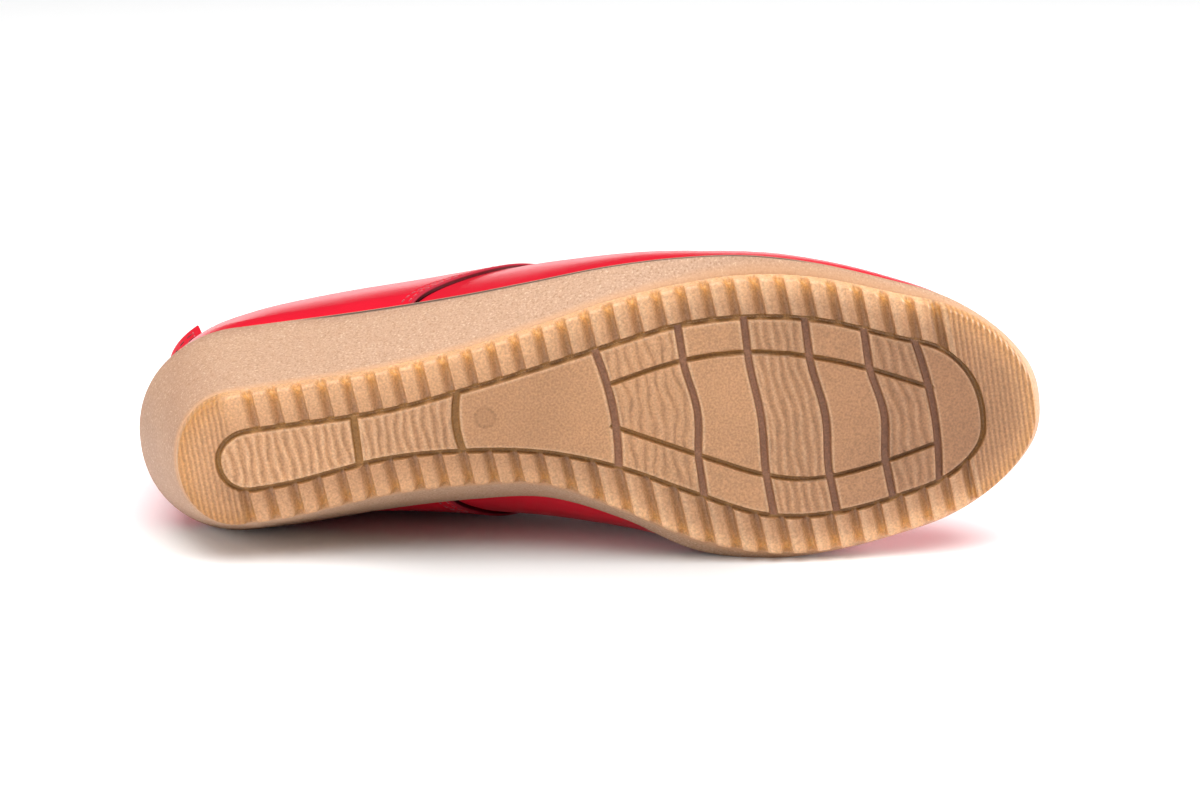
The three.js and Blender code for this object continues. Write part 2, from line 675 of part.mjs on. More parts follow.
// A rolled metal ring, its axis along Y until it is turned to the wall's normal
function eyeletGeometry() {
  const half = EYELET_THICKNESS / 2;
  const middle = (EYELET_OUTER + EYELET_INNER) / 2;
  const profile = [
    new THREE.Vector2(EYELET_INNER, -half),
    new THREE.Vector2(EYELET_OUTER, -half),
    new THREE.Vector2(EYELET_OUTER, 0),
    new THREE.Vector2(middle, half),
    new THREE.Vector2(EYELET_INNER, 0),
    new THREE.Vector2(EYELET_INNER, -half),
  ];
  const bare = new THREE.LatheGeometry(profile, EYELET_SIDES);
  bare.deleteAttribute('normal');
  bare.deleteAttribute('uv');
  const geometry = mergeVertices(bare, JOIN_TOLERANCE);
  geometry.computeVertexNormals();
  return geometry;
}

function placeEyelet(mesh, index, medial) {
  const row = eyeletRow(index);
  const place = medial ? ROW_COUNT - row : row;
  const normal = lastNormal(place, EYELET_PLACE);
  const lift = QUARTER_STEP + SEAT_GAP + EYELET_THICKNESS / 2;
  mesh.position.copy(lastPoint(place, EYELET_PLACE).addScaledVector(normal, lift));
  mesh.quaternion.setFromUnitVectors(new THREE.Vector3(0, 1, 0), normal);
  return mesh;
}

// One run of lace over the throat, from a lateral row to a medial row
function laceRun(lateralRow, medialRow) {
  const points = Array.from({ length: LACE_STEPS + 1 }, (_, i) => {
    const share = i / LACE_STEPS;
    const row = THREE.MathUtils.lerp(lateralRow, medialRow, share);
    return bridgePoint(row, THREE.MathUtils.lerp(-LACE_REACH, LACE_REACH, share), LACE_LIFT);
  });
  const section = new THREE.Shape(Array.from({ length: LACE_SIDES }, (_, i) => {
    const angle = 2 * Math.PI * i / LACE_SIDES;
    return new THREE.Vector2(LACE_RADIUS * Math.cos(angle), LACE_RADIUS * Math.sin(angle));
  }));
  return new THREE.ExtrudeGeometry(section, {
    steps: LACE_STEPS,
    bevelEnabled: false,
    extrudePath: new THREE.CatmullRomCurve3(points),
  });
}

function buildLace() {
  const runs = [laceRun(eyeletRow(0), eyeletRow(0))];
  for (let i = 0; i + 1 < EYELETS_PER_SIDE; i += 1) {
    runs.push(laceRun(eyeletRow(i), eyeletRow(i + 1)), laceRun(eyeletRow(i + 1), eyeletRow(i)));
  }
  return toGeometry(joined(runs));
}

// One named piece with its finish
function piece(name, geometry, finish) {
  const mesh = new THREE.Mesh(geometry, new THREE.MeshStandardMaterial(finish));
  mesh.name = name;
  return mesh;
}

// Turn of the shoe onto its inner side: the plane through the lowest points of the wedge's heel, of its ball
// and of the upper becomes the floor, and the shoe's length stays along X
function layOnSide(shoe) {
  const pointsOf = (name) => {
    const position = shoe.getObjectByName(name).geometry.attributes.position;
    const pointAt = (_, i) => new THREE.Vector3().fromBufferAttribute(position, i);
    return Array.from({ length: position.count }, pointAt);
  };
  const wedge = pointsOf('wedge_midsole');
  const heel = wedge.filter((p) => p.x < SOLE_LENGTH / 3);
  const ball = wedge.filter((p) => p.x > SOLE_LENGTH / 2);
  const quarter = pointsOf('upper');
  const furthest = (points, down) => points.reduce((best, p) => (p.dot(down) > best.dot(down) ? p : best));
  const down = new THREE.Vector3(0, 1, 0);
  for (let i = 0; i < SETTLING_ROUNDS; i += 1) {
    const [a, b, c] = [heel, ball, quarter].map((points) => furthest(points, down));
    down.crossVectors(c.clone().sub(a), b.clone().sub(a)).normalize();
    if (down.y < 0) down.negate();
  }
  const up = down.clone().negate();
  const along = new THREE.Vector3(1, 0, 0);
  along.addScaledVector(up, -along.dot(up)).normalize();
  const across = new THREE.Vector3().crossVectors(up, along);
  const turn = new THREE.Matrix4().makeBasis(along, across, up).transpose();
  shoe.quaternion.setFromRotationMatrix(turn);
  shoe.updateMatrixWorld(true);
  const box = new THREE.Box3().setFromObject(shoe, true);
  shoe.position.set(-(box.min.x + box.max.x) / 2, -(box.min.y + box.max.y) / 2, -box.min.z);
  shoe.updateMatrixWorld(true);
}

const shoe = new THREE.Group();
shoe.add(
  piece('outsole', buildOutsole(), TREAD_RUBBER),
  piece('wedge_midsole', buildWedge(), WEDGE_RUBBER),
  piece('insole', buildInsole(), SOCK_LEATHER),
  piece('upper', buildUpper(), LEATHER),
  piece('heel_strap', buildHeelStrap(), LEATHER),
  piece('tongue', buildTongue(), LEATHER),
  piece('lace', buildLace(), LACE_COTTON),
);
for (const [side, medial] of [['lateral', false], ['medial', true]]) {
  for (let i = 0; i < EYELETS_PER_SIDE; i += 1) {
    shoe.add(placeEyelet(piece(`eyelet_${side}_${i + 1}`, eyeletGeometry(), EYELET_METAL), i, medial));
  }
}
layOnSide(shoe);

const part = new THREE.Group();
part.add(shoe);
part.updateMatrixWorld(true);

export default part;
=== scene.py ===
"""Looks of a red leather lace-up shoe on a honey rubber wedge, right foot, lying on its inner side.

Shapes are worked out in the shoe's own frame, in millimetres: X from heel to toe, Y from the outer (lateral)
to the inner (medial) side, Z up from the tread. ShoePlace turns them into the frame's metres.
"""

from __future__ import annotations

import json
import math
from collections import defaultdict
from collections.abc import Callable
from dataclasses import dataclass

import bpy
import numpy as np
from bpy.types import Material, Node, NodeSocket, Object
from mathutils import Matrix, Vector
from mathutils.kdtree import KDTree
from numpy import ndarray as Array

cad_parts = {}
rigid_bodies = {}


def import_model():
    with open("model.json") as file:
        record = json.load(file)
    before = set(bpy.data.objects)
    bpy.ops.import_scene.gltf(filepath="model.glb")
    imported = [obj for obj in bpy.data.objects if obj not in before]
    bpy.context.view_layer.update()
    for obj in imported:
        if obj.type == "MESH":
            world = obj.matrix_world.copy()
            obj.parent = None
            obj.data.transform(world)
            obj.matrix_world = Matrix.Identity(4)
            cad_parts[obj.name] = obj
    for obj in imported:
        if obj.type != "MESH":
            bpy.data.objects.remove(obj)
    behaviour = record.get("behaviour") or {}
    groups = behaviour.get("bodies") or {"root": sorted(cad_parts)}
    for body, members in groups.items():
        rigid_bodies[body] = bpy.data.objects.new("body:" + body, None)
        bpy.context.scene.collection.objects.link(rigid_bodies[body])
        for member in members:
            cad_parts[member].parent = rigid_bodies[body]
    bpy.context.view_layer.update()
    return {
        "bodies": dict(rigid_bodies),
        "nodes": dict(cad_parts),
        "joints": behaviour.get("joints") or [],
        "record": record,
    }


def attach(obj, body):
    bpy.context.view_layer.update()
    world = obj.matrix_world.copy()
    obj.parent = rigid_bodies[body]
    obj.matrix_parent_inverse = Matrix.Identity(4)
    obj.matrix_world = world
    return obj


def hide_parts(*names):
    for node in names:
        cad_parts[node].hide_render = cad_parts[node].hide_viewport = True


MM = 0.001
WELD_M = 2e-6
SLOPE_ANGLE = 0.01
SLOPE_STEP = 0.02
TURN = 2 * math.pi
SHARP_ANGLE = math.radians(80.0)
BEVEL_ANGLE = math.radians(50.0)


# Shared arithmetic


def columns(names: str, rows: list[list[float]]) -> dict[str, Array]:
    """A short table as one array for each named column."""
    return dict(zip(names.split(), np.array(rows, float).T))


def smoothstep(share: Array) -> Array:
    """Soft rise from 0 to 1 over a share that runs from 0 to 1."""
    t = np.clip(share, 0.0, 1.0)
    return t * t * (3.0 - 2.0 * t)


def ramp(value: Array, start: float, over: float) -> Array:
    """Soft rise from 0 at a start to 1 some way past it."""
    return smoothstep((value - start) / over)


def fall(value: Array, start: float, over: float) -> Array:
    """Soft fall from 1 at a start to 0 some way past it."""
    return 1.0 - ramp(value, start, over)


def bell(distance: Array, width: float) -> Array:
    """Soft bump of height 1 and the given half width."""
    return np.exp(-np.square(distance / width))


def unit(vectors: Array) -> Array:
    """Vectors at length 1."""
    return vectors / np.maximum(np.linalg.norm(vectors, axis=-1, keepdims=True), 1e-9)


def mix(low: Array, high: Array, share: Array) -> Array:
    """Value between low and high."""
    return low + (high - low) * share


def smooth_through(at: Array, values: Array, where: Array) -> Array:
    """Cubic curve with smooth joints through values at rising places, flat past both ends."""
    before = np.r_[at[0], at[:-1]]
    after = np.r_[at[1:], at[-1]]
    slope = (np.r_[values[1:], values[-1]] - np.r_[values[0], values[:-1]]) / (after - before)
    x = np.clip(where, at[0], at[-1])
    i = np.clip(np.searchsorted(at, x, side="right") - 1, 0, len(at) - 2)
    span = at[i + 1] - at[i]
    t = (x - at[i]) / span
    start = t * (1.0 - t) * (1.0 - t)
    end = t * t * (t - 1.0)
    return mix(values[i], values[i + 1], smoothstep(t)) + span * (start * slope[i] + end * slope[i + 1])


def waves(plan: Array, parts: tuple[tuple[float, float, float], ...]) -> Array:
    """Sum of waves over a plan, each with its height and its lengths across and along the shoe."""
    x, y = plan[..., 0], plan[..., 1]
    return sum(height * np.sin(TURN * (y / across + x / along)) for height, across, along in parts)


def run_lengths(line: Array) -> Array:
    """Distance from a polyline's first point to each of its points."""
    return np.r_[0.0, np.cumsum(np.linalg.norm(np.diff(line, axis=0), axis=1))]


def even_steps(line: Array, count: int) -> Array:
    """Fractional indices of points spread evenly along a polyline, its first and last point included."""
    length = run_lengths(line)
    return np.interp(np.linspace(0.0, length[-1], count), length, np.arange(len(line)))


def at_places(line: Array, places: Array) -> Array:
    """Points of a polyline at fractional indices."""
    return np.stack([np.interp(places, np.arange(len(line)), values) for values in line.T], -1)


def spread(places: Array, line: Array, step: float) -> Array:
    """Places, given for a line's points, at even steps along it, without the last one."""
    indices = even_steps(line, int(run_lengths(line)[-1] / step) + 2)[:-1]
    return np.interp(indices, np.arange(len(line)), places)


# Place of the shoe in the frame


class ShoePlace:
    """Where the shoe lies: its own millimetres to the frame's metres, read from the two tread mounts."""

    HEEL_MARK = np.array([42.0, -0.5, 0.0])
    FOREFOOT_MARK = np.array([165.0, -3.0, 0.0])

    def __init__(self, mounts: list[dict]) -> None:
        """Finds the shoe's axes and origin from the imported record's mounts."""
        found = {mount["name"]: mount for mount in mounts}
        heel, forefoot = (np.array(found[name]["pos_m"]) for name in ("tread_heel", "tread_forefoot"))
        up = unit(-np.array(found["tread_heel"]["axis"]))
        run = forefoot - heel
        run = unit(run - up * (run @ up))
        mark = self.FOREFOOT_MARK - self.HEEL_MARK
        turn = math.atan2(mark[1], mark[0])
        along = math.cos(turn) * run - math.sin(turn) * np.cross(up, run)
        self.axes = np.stack([along, np.cross(up, along), up])
        self.origin = heel - MM * self.HEEL_MARK @ self.axes

    def points(self, millimetres: Array) -> Array:
        """Points of the shoe's frame in the row's frame, in metres."""
        return MM * millimetres @ self.axes + self.origin

    def direction(self, vector: Array) -> Array:
        """A direction of the shoe's frame in the row's frame."""
        return vector @ self.axes


# Forms of sole and last


@dataclass(frozen=True)
class OutlineEnds:
    """Rounded ends of an outline: where they are, how far the rounds reach, and the tips' places."""

    back: float
    front: float
    heel_round: float
    toe_round: float
    heel_tip: float
    toe_tip: float


class SoleForm:
    """Outlines and heights of the sole."""

    length = 256.6
    plate = 4.0
    gap = 0.3
    spring = 10.0
    spring_start = 180.0
    heel_roll = 1.2
    heel_roll_end = 26.0
    heel_power = 2.1
    toe_power = 2.3
    tread_ends = OutlineEnds(11.6, 255.0, 17.0, 33.0, 0.6, 7.5)
    top_ends = OutlineEnds(0.0, 256.6, 30.0, 37.0, 1.4, 7.5)
    pad_ends = OutlineEnds(23.4, 238.7, 9.0, 18.0, 0.0, 9.0)
    rows = columns(
        "x tread_lateral tread_medial pad_lateral pad_medial top_lateral top_medial top_height",
        [
            [10, -18.2, 19.4, -7.0, 9.6, -27.8, 31.6, 41.4],
            [40, -20.0, 18.4, -8.7, 8.1, -29.6, 30.4, 39.6],
            [70, -22.4, 14.2, -10.6, 3.1, -32.7, 26.2, 33.3],
            [95, -26.3, 13.4, -15.1, 2.9, -36.3, 23.6, 26.8],
            [115, -30.9, 15.4, -19.5, 5.4, -39.9, 23.4, 21.3],
            [135, -36.0, 24.6, -24.2, 11.5, -43.5, 29.8, 16.1],
            [155, -39.2, 34.9, -28.3, 20.6, -45.4, 39.7, 11.8],
            [175, -40.2, 40.6, -28.8, 28.7, -45.0, 43.1, 9.2],
            [195, -37.4, 41.1, -25.8, 29.9, -40.9, 42.6, 8.8],
            [220, -29.6, 37.1, -17.4, 25.5, -32.3, 38.5, 8.8],
            [252, -20.0, 29.1, -9.4, 17.4, -20.4, 31.2, 8.8],
        ],
    )

    def column(self, name: str, x: Array) -> Array:
        """A column of the sole's table at places along the shoe."""
        return smooth_through(self.rows["x"], self.rows[name], x)

    def _toe_rise(self, x: Array) -> Array:
        """Rise of the toe spring."""
        share = np.maximum(0.0, (x - self.spring_start) / (self.length - self.spring_start))
        return self.spring * share * share

    def lift(self, x: Array) -> Array:
        """Height of the tread over the ground: toe spring and rolled heel."""
        heel = np.maximum(0.0, (self.heel_roll_end - x) / (self.heel_roll_end - self.tread_ends.back))
        return self._toe_rise(x) + self.heel_roll * heel * heel

    def seat(self, x: Array) -> Array:
        """Height of the wedge's top, which carries the upper and the insole."""
        return self.column("top_height", x) + self._toe_rise(x)

    def _outline(self, ends: OutlineEnds, sides: str, angle: Array) -> Array:
        """Points of a closed outline: heel tip at angle 0, toe tip at a half turn, lateral side first."""
        x = mix(ends.back, ends.front, (1.0 - np.cos(angle)) / 2.0)

        def rounded(share: Array, power: float) -> Array:
            """Share of the full width near a rounded end."""
            inside = np.clip(share, 0.0, 1.0)
            return np.power(1.0 - np.power(1.0 - inside, power), 1.0 / power)

        width = rounded((x - ends.back) / ends.heel_round, self.heel_power)
        width = width * rounded((ends.front - x) / ends.toe_round, self.toe_power)
        tip = mix(ends.heel_tip, ends.toe_tip, (x - ends.back) / (ends.front - ends.back))
        lateral, medial = (self.column(f"{sides}_{side}", x) for side in ("lateral", "medial"))
        side = np.where(np.sin(angle) >= 0.0, lateral, medial)
        return np.stack([x, tip + (side - tip) * width], -1)

    def tread(self, angle: Array) -> Array:
        """Outline of the tread."""
        return self._outline(self.tread_ends, "tread", angle)

    def top(self, angle: Array) -> Array:
        """Outline of the wedge's top edge."""
        return self._outline(self.top_ends, "top", angle)

    def pad(self, angle: Array) -> Array:
        """Middle of the groove round the pads."""
        return self._outline(self.pad_ends, "pad", angle)

    def pad_angle(self, x: Array) -> Array:
        """Angle of the pad outline's lateral point at a place along the shoe."""
        ends = self.pad_ends
        return np.arccos(np.clip(1.0 - 2.0 * (x - ends.back) / (ends.front - ends.back), -1.0, 1.0))


def inward(outline: Callable[[Array], Array], angle: Array) -> Array:
    """Directions that point into a closed outline, square to it."""
    along = unit(outline(angle + SLOPE_ANGLE) - outline(angle - SLOPE_ANGLE))
    return np.stack([-along[..., 1], along[..., 0]], -1)


def middle_line(outline: Array) -> Array:
    """The middle line between the two sides of a closed outline."""
    return np.stack([outline[:, 0], (outline[:, 1] + outline[::-1, 1]) / 2.0], -1)


def even_angles(outline: Callable[[Array], Array], count: int) -> Array:
    """Angles at even steps along a closed outline, the first one repeated at the end."""
    fine = np.linspace(0.0, TURN, 8 * count + 1)
    return even_steps(outline(fine), count + 1) * TURN / (8 * count)


@dataclass
class Last:
    """Surface of the last: ribs from the feather edge over two control points to the rim of the opening."""

    sole: SoleForm
    foot_inset = 1.8
    foot_zone = 0.12
    wall = 2.3
    step = 1.3
    step_at_foot = 0.7
    seam_column = 6.2
    lateral_seam = (3.8, 8.75)
    medial_seam = (4.05, 8.75)
    seam_bend = 1.6
    throat_at = (0.26, 0.43, 0.6, 0.8, 1.0)
    throat_levels = (1.0, 0.93, 0.86, 0.78, 0.7)
    rows = columns(
        "feather side low_x low_y low_z high_x high_y high_z rim_x rim_y rim_z",
        [
            [0, -1, 3.6, 1.2, 60, 8.6, 1.5, 86, 10.5, 2, 110],
            [14, -1, 15.5, -19.8, 60, 18.5, -14.2, 86, 19, -9.2, 107.5],
            [34, -1, 34, -28.9, 60, 35, -20.9, 84, 34, -14.2, 104],
            [60, -1, 60, -32.6, 60, 58, -25, 84, 56, -18.2, 103],
            [86, -1, 86, -36, 56, 80, -27.5, 84, 80, -19, 106],
            [108, -1, 108, -39.5, 50, 100, -30, 84, 99, -16.5, 111],
            [128, -1, 128, -44, 44, 117, -31, 83, 111, -10.5, 115],
            [148, -1, 148, -46.5, 38, 140, -34, 70, 127, -9.5, 99],
            [168, -1, 168, -45.5, 33, 160, -34, 62, 143, -8.5, 83],
            [190, -1, 191, -43.5, 32, 178, -31, 55, 154, -6.5, 73.5],
            [214, -1, 217, -37, 34, 196, -20, 48, 159, -3.6, 70],
            [238, -1, 244, -22, 38, 205, -6, 46, 161, -0.8, 69],
            [256.6, 1, 260, 7.6, 42, 208, 5, 46, 161.5, 1.2, 68.8],
            [238, 1, 244, 34, 38, 205, 15, 46, 161, 3.2, 69],
            [214, 1, 217, 44, 34, 196, 25, 48, 159, 6, 70],
            [190, 1, 191, 46, 31, 178, 32, 55, 154, 8.5, 73.5],
            [168, 1, 168, 46, 30, 160, 34, 62, 143, 10, 83],
            [148, 1, 148, 48.5, 31, 140, 35, 70, 127, 11, 99],
            [128, 1, 128, 49.5, 34, 118, 34, 82, 111, 12.5, 115],
            [108, 1, 108, 46, 38, 102, 35.5, 82, 99, 23, 111],
            [86, 1, 86, 40.5, 44, 82, 34, 84, 80, 31.5, 106],
            [60, 1, 60, 35, 51, 60, 32, 84, 56, 31, 103],
            [34, 1, 34, 30, 59, 36, 29, 84, 34, 26.5, 104],
            [14, 1, 15.5, 22, 60, 18.5, 19, 86, 19, 16, 107],
        ],
    )

    def __post_init__(self) -> None:
        """Finds the angle of each rib's foot round the feather edge."""
        turn = np.arccos(1.0 - 2.0 * self.rows["feather"] / self.sole.length)
        self.angles = np.where(self.rows["side"] < 0, turn, TURN - turn)
        self.count = len(turn)
        self.toe = self.count / 2

    def _between(self, values: Array, place: Array, turn: float = 0.0) -> Array:
        """Smooth value between the ribs at places round the shoe. One full round adds a turn to it."""
        i = np.floor(place).astype(int)
        t = place - i
        a, b, c, d = (values[(i + k) % self.count] + turn * ((i + k) // self.count) for k in (-1, 0, 1, 2))
        return b + 0.5 * t * (c - a + t * (2 * a - 5 * b + 4 * c - d + t * (3 * (b - c) + d - a)))

    def point(self, place: Array, level: Array) -> Array:
        """Points of the last at places round the shoe and levels from feather edge (0) to rim (1)."""
        place, level = np.broadcast_arrays(np.asarray(place, float), np.asarray(level, float))
        angle = self._between(self.angles, place, TURN)
        foot = self.sole.top(angle) + self.foot_inset * inward(self.sole.top, angle)
        foot = np.concatenate([foot, self.sole.seat(foot[..., :1]) + self.sole.gap], -1)
        knots = [foot]
        for name in ("low", "high", "rim"):
            knots.append(np.stack([self._between(self.rows[f"{name}_{axis}"], place) for axis in "xyz"], -1))
        t = level[..., None]
        s = 1.0 - t
        return s**3 * knots[0] + 3 * s * s * t * knots[1] + 3 * s * t * t * knots[2] + t**3 * knots[3]

    def normal(self, place: Array, level: Array) -> Array:
        """Outward normals, level with the ground at the feather edge."""
        place, level = np.broadcast_arrays(np.asarray(place, float), np.asarray(level, float))
        round_shoe = self.point(place + SLOPE_STEP, level) - self.point(place - SLOPE_STEP, level)
        low, high = np.maximum(level - SLOPE_STEP, 0.0), np.minimum(level + SLOPE_STEP, 1.0)
        normal = np.cross(round_shoe, self.point(place, high) - self.point(place, low))
        normal[..., 2] *= np.minimum(1.0, level / self.foot_zone)
        return unit(normal)

    def offset(self, place: Array, level: Array, distance: Array) -> Array:
        """Points lifted off the last along its normal."""
        return self.point(place, level) + self.normal(place, level) * np.asarray(distance, float)[..., None]

    def quarter_step(self, level: Array) -> Array:
        """How far the quarters stand proud of the vamp."""
        return mix(self.step_at_foot, self.step, np.minimum(1.0, level / self.foot_zone))

    def column_place(self, column: Array, level: Array) -> Array:
        """Place of a column of the wall: columns lean so that one runs along each quarter's edge."""
        medial = column > self.toe
        from_heel = np.where(medial, self.count - column, column)
        foot = np.where(medial, self.medial_seam[0], self.lateral_seam[0])
        rim = np.where(medial, self.medial_seam[1], self.lateral_seam[1])
        edge = mix(foot, rim, np.power(level, self.seam_bend))
        behind = from_heel * edge / self.seam_column
        before = self.toe - (self.toe - from_heel) * (self.toe - edge) / (self.toe - self.seam_column)
        place = np.where(from_heel <= self.seam_column, behind, before)
        return np.where(medial, self.count - place, place)

    def bridge(self, row: Array, across: Array, lift: float) -> Array:
        """Points of an arch over the throat: at ribs, and from -1 on the lateral to 1 on the medial side."""
        at, levels = np.array(self.throat_at), np.array(self.throat_levels)
        row, across = np.broadcast_arrays(np.asarray(row, float), np.asarray(across, float))
        flat_row, flat_across = row.ravel(), across.ravel()
        lateral = self.offset(flat_row[:, None], levels[::-1], lift)
        medial = self.offset(self.count - flat_row[:, None], levels, lift)
        knots = np.concatenate([lateral, medial], 1)
        knot_at = np.r_[-at[::-1], at]
        found = [
            [smooth_through(knot_at, knots[i, :, k], flat_across[i:i + 1])[0] for k in range(3)]
            for i in range(len(flat_row))
        ]
        return np.array(found).reshape(row.shape + (3,))


# Meshes


@dataclass
class Workshop:
    """Makes pieces at their place in the frame."""

    place: ShoePlace

    def grid(
        self,
        name: str,
        points: Array,
        marks: dict[str, Array] | None = None,
        slots: Array | None = None,
        closed: bool = True,
    ) -> Object:
        """A grid primitive laid over rows by columns of points, with what meets welded.

        A repeated first row or column closes a ring. Marks are values at the points, kept as attributes for
        the materials. Slots are the material slots of the rows of faces. A closed shell's faces are turned
        outwards.
        """
        rows, across = points.shape[:2]
        bpy.ops.object.select_all(action="DESELECT")
        bpy.ops.mesh.primitive_grid_add(x_subdivisions=across - 1, y_subdivisions=rows - 1, size=2.0)
        piece = bpy.context.object
        piece.name = piece.data.name = name
        mesh = piece.data
        flat = np.empty(len(mesh.vertices) * 3)
        mesh.vertices.foreach_get("co", flat)
        flat = flat.reshape(-1, 3)
        column = np.rint((flat[:, 0] + 1.0) / 2.0 * (across - 1)).astype(int)
        row = np.rint((flat[:, 1] + 1.0) / 2.0 * (rows - 1)).astype(int)
        mesh.vertices.foreach_set("co", self.place.points(points[row, column]).ravel())
        for key, values in (marks or {}).items():
            attribute = mesh.attributes.new(key, "FLOAT", "POINT")
            attribute.data.foreach_set("value", values[row, column].astype(np.float32))
        if slots is not None:
            corners = np.empty(len(mesh.loops), int)
            mesh.loops.foreach_get("vertex_index", corners)
            mesh.polygons.foreach_set("material_index", slots[row[corners].reshape(-1, 4).min(1)])
        mesh.update()
        self._clean(weld=True, turn=closed)
        bpy.ops.object.shade_smooth_by_angle(angle=SHARP_ANGLE)
        return piece

    def _clean(self, weld: bool, turn: bool) -> None:
        """Welds the active piece's points that meet, and turns its faces outwards."""
        bpy.ops.object.mode_set(mode="EDIT")
        bpy.ops.mesh.select_all(action="SELECT")
        if weld:
            bpy.ops.mesh.remove_doubles(threshold=WELD_M)
            bpy.ops.mesh.dissolve_degenerate(threshold=WELD_M)
        if turn:
            bpy.ops.mesh.normals_make_consistent(inside=False)
        bpy.ops.object.mode_set(mode="OBJECT")

    def sheet(self, name: str, points: Array, thickness: float, edge: float) -> Object:
        """A sheet over rows by columns of points, thick to both sides, with its edges rounded to a radius."""
        piece = self.grid(name, points, closed=False)
        solid = piece.modifiers.new("thickness", "SOLIDIFY")
        solid.thickness = thickness * MM
        solid.offset = 0.0
        solid.use_even_offset = True
        bevel = piece.modifiers.new("edge", "BEVEL")
        bevel.width = edge * MM
        bevel.segments = 3
        bevel.limit_method = "ANGLE"
        bevel.angle_limit = BEVEL_ANGLE
        bpy.context.view_layer.objects.active = piece
        for name in ("thickness", "edge"):
            bpy.ops.object.modifier_apply(modifier=name)
        self._clean(weld=False, turn=True)
        bpy.ops.object.shade_smooth()
        return piece

    def joined(self, name: str, points: Array, faces: list[list[int]]) -> Object:
        """Copies by points of one shape, with that shape's faces, as one piece."""
        copies, each = points.shape[:2]
        every = [[corner + each * k for corner in face] for k in range(copies) for face in faces]
        mesh = bpy.data.meshes.new(name)
        mesh.from_pydata(self.place.points(points.reshape(-1, 3)).tolist(), [], every)
        piece = bpy.data.objects.new(name, mesh)
        bpy.context.scene.collection.objects.link(piece)
        mesh.polygons.foreach_set("use_smooth", np.ones(len(mesh.polygons), bool))
        return piece


class Layers:
    """Rows of points laid one over another, with values that the material needs to know."""

    def __init__(self) -> None:
        """Starts with no rows."""
        self.rows: list[Array] = []
        self.marks: dict[str, list[Array]] = defaultdict(list)

    def lay(self, plan: Array, height: Array, **marks: Array | float) -> None:
        """Adds a row of points, as seen from below, at heights."""
        self.rows.append(np.concatenate([plan, height[:, None]], 1))
        for name, values in marks.items():
            self.marks[name].append(np.broadcast_to(values, height.shape))

    def close(self) -> None:
        """Repeats the first row, so that the rows make a ring."""
        for kept in (self.rows, *self.marks.values()):
            kept.append(kept[0])

    def build(self, shop: Workshop, name: str) -> Object:
        """The rows as one piece."""
        return shop.grid(name, np.array(self.rows), {key: np.array(kept) for key, kept in self.marks.items()})


def dress(piece: Object, slot: str, *materials: Material) -> None:
    """Puts materials on a piece and lets it ride on the shoe. The slot's name is not used."""
    piece.data.materials.clear()
    for material in materials:
        piece.data.materials.append(material)
    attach(piece, "root")


# Finishes

MIX_FACTOR, MIX_A, MIX_B, MIX_RESULT = 0, 6, 7, 2
# Gum colours. The valley and trough colours are painted shade in rib valleys, ripple troughs and fine ribs,
# the pale colour after them is a painted highlight, and the last colour is painted shade towards the toe, in
# the shank and on the rim's lower side.
GUM = {
    "pad": "#b4865f",
    "rim": "#ca9a70",
    "valley": "#a67c5a",
    "amber": "#c48d4e",
    "honey": "#b57f46",
    "trough": "#8c6341",
    "painted_highlight": "#d9b591",
    "groove": "#966a36",
    "cross": "#94674b",
    "painted_shade": "#cbc2be",
}
# Crepe colours. The grey is painted shade in patches behind the heel and at the top of the wall, and the line
# colour is a painted shadow under the upper.
CREPE = {
    "body": "#b39076",
    "speck": "#957053",
    "light": "#d6ba9f",
    "grey": "#a17d67",
    "warm": "#c4946c",
    "line": "#54443b",
}
# Colours without coat: the fold has the raw edge's own colour, and the other is a painted shadow in the
# crease in front of the quarter's edge.
FOLD_AND_CREASE_SHADOW = {"fold": "#93303d", "edge": "#2a070c"}


def colour(code: str) -> tuple[float, float, float, float]:
    """Linear colour of an sRGB hex value."""
    parts = [int(code[k:k + 2], 16) / 255.0 for k in (1, 3, 5)]
    linear = [p / 12.92 if p <= 0.04045 else ((p + 0.055) / 1.055) ** 2.4 for p in parts]
    return (linear[0], linear[1], linear[2], 1.0)


def per_mm(size: float) -> float:
    """Scale of a pattern on Object coordinates whose features are this many millimetres wide."""
    return 1.0 / (size * MM)


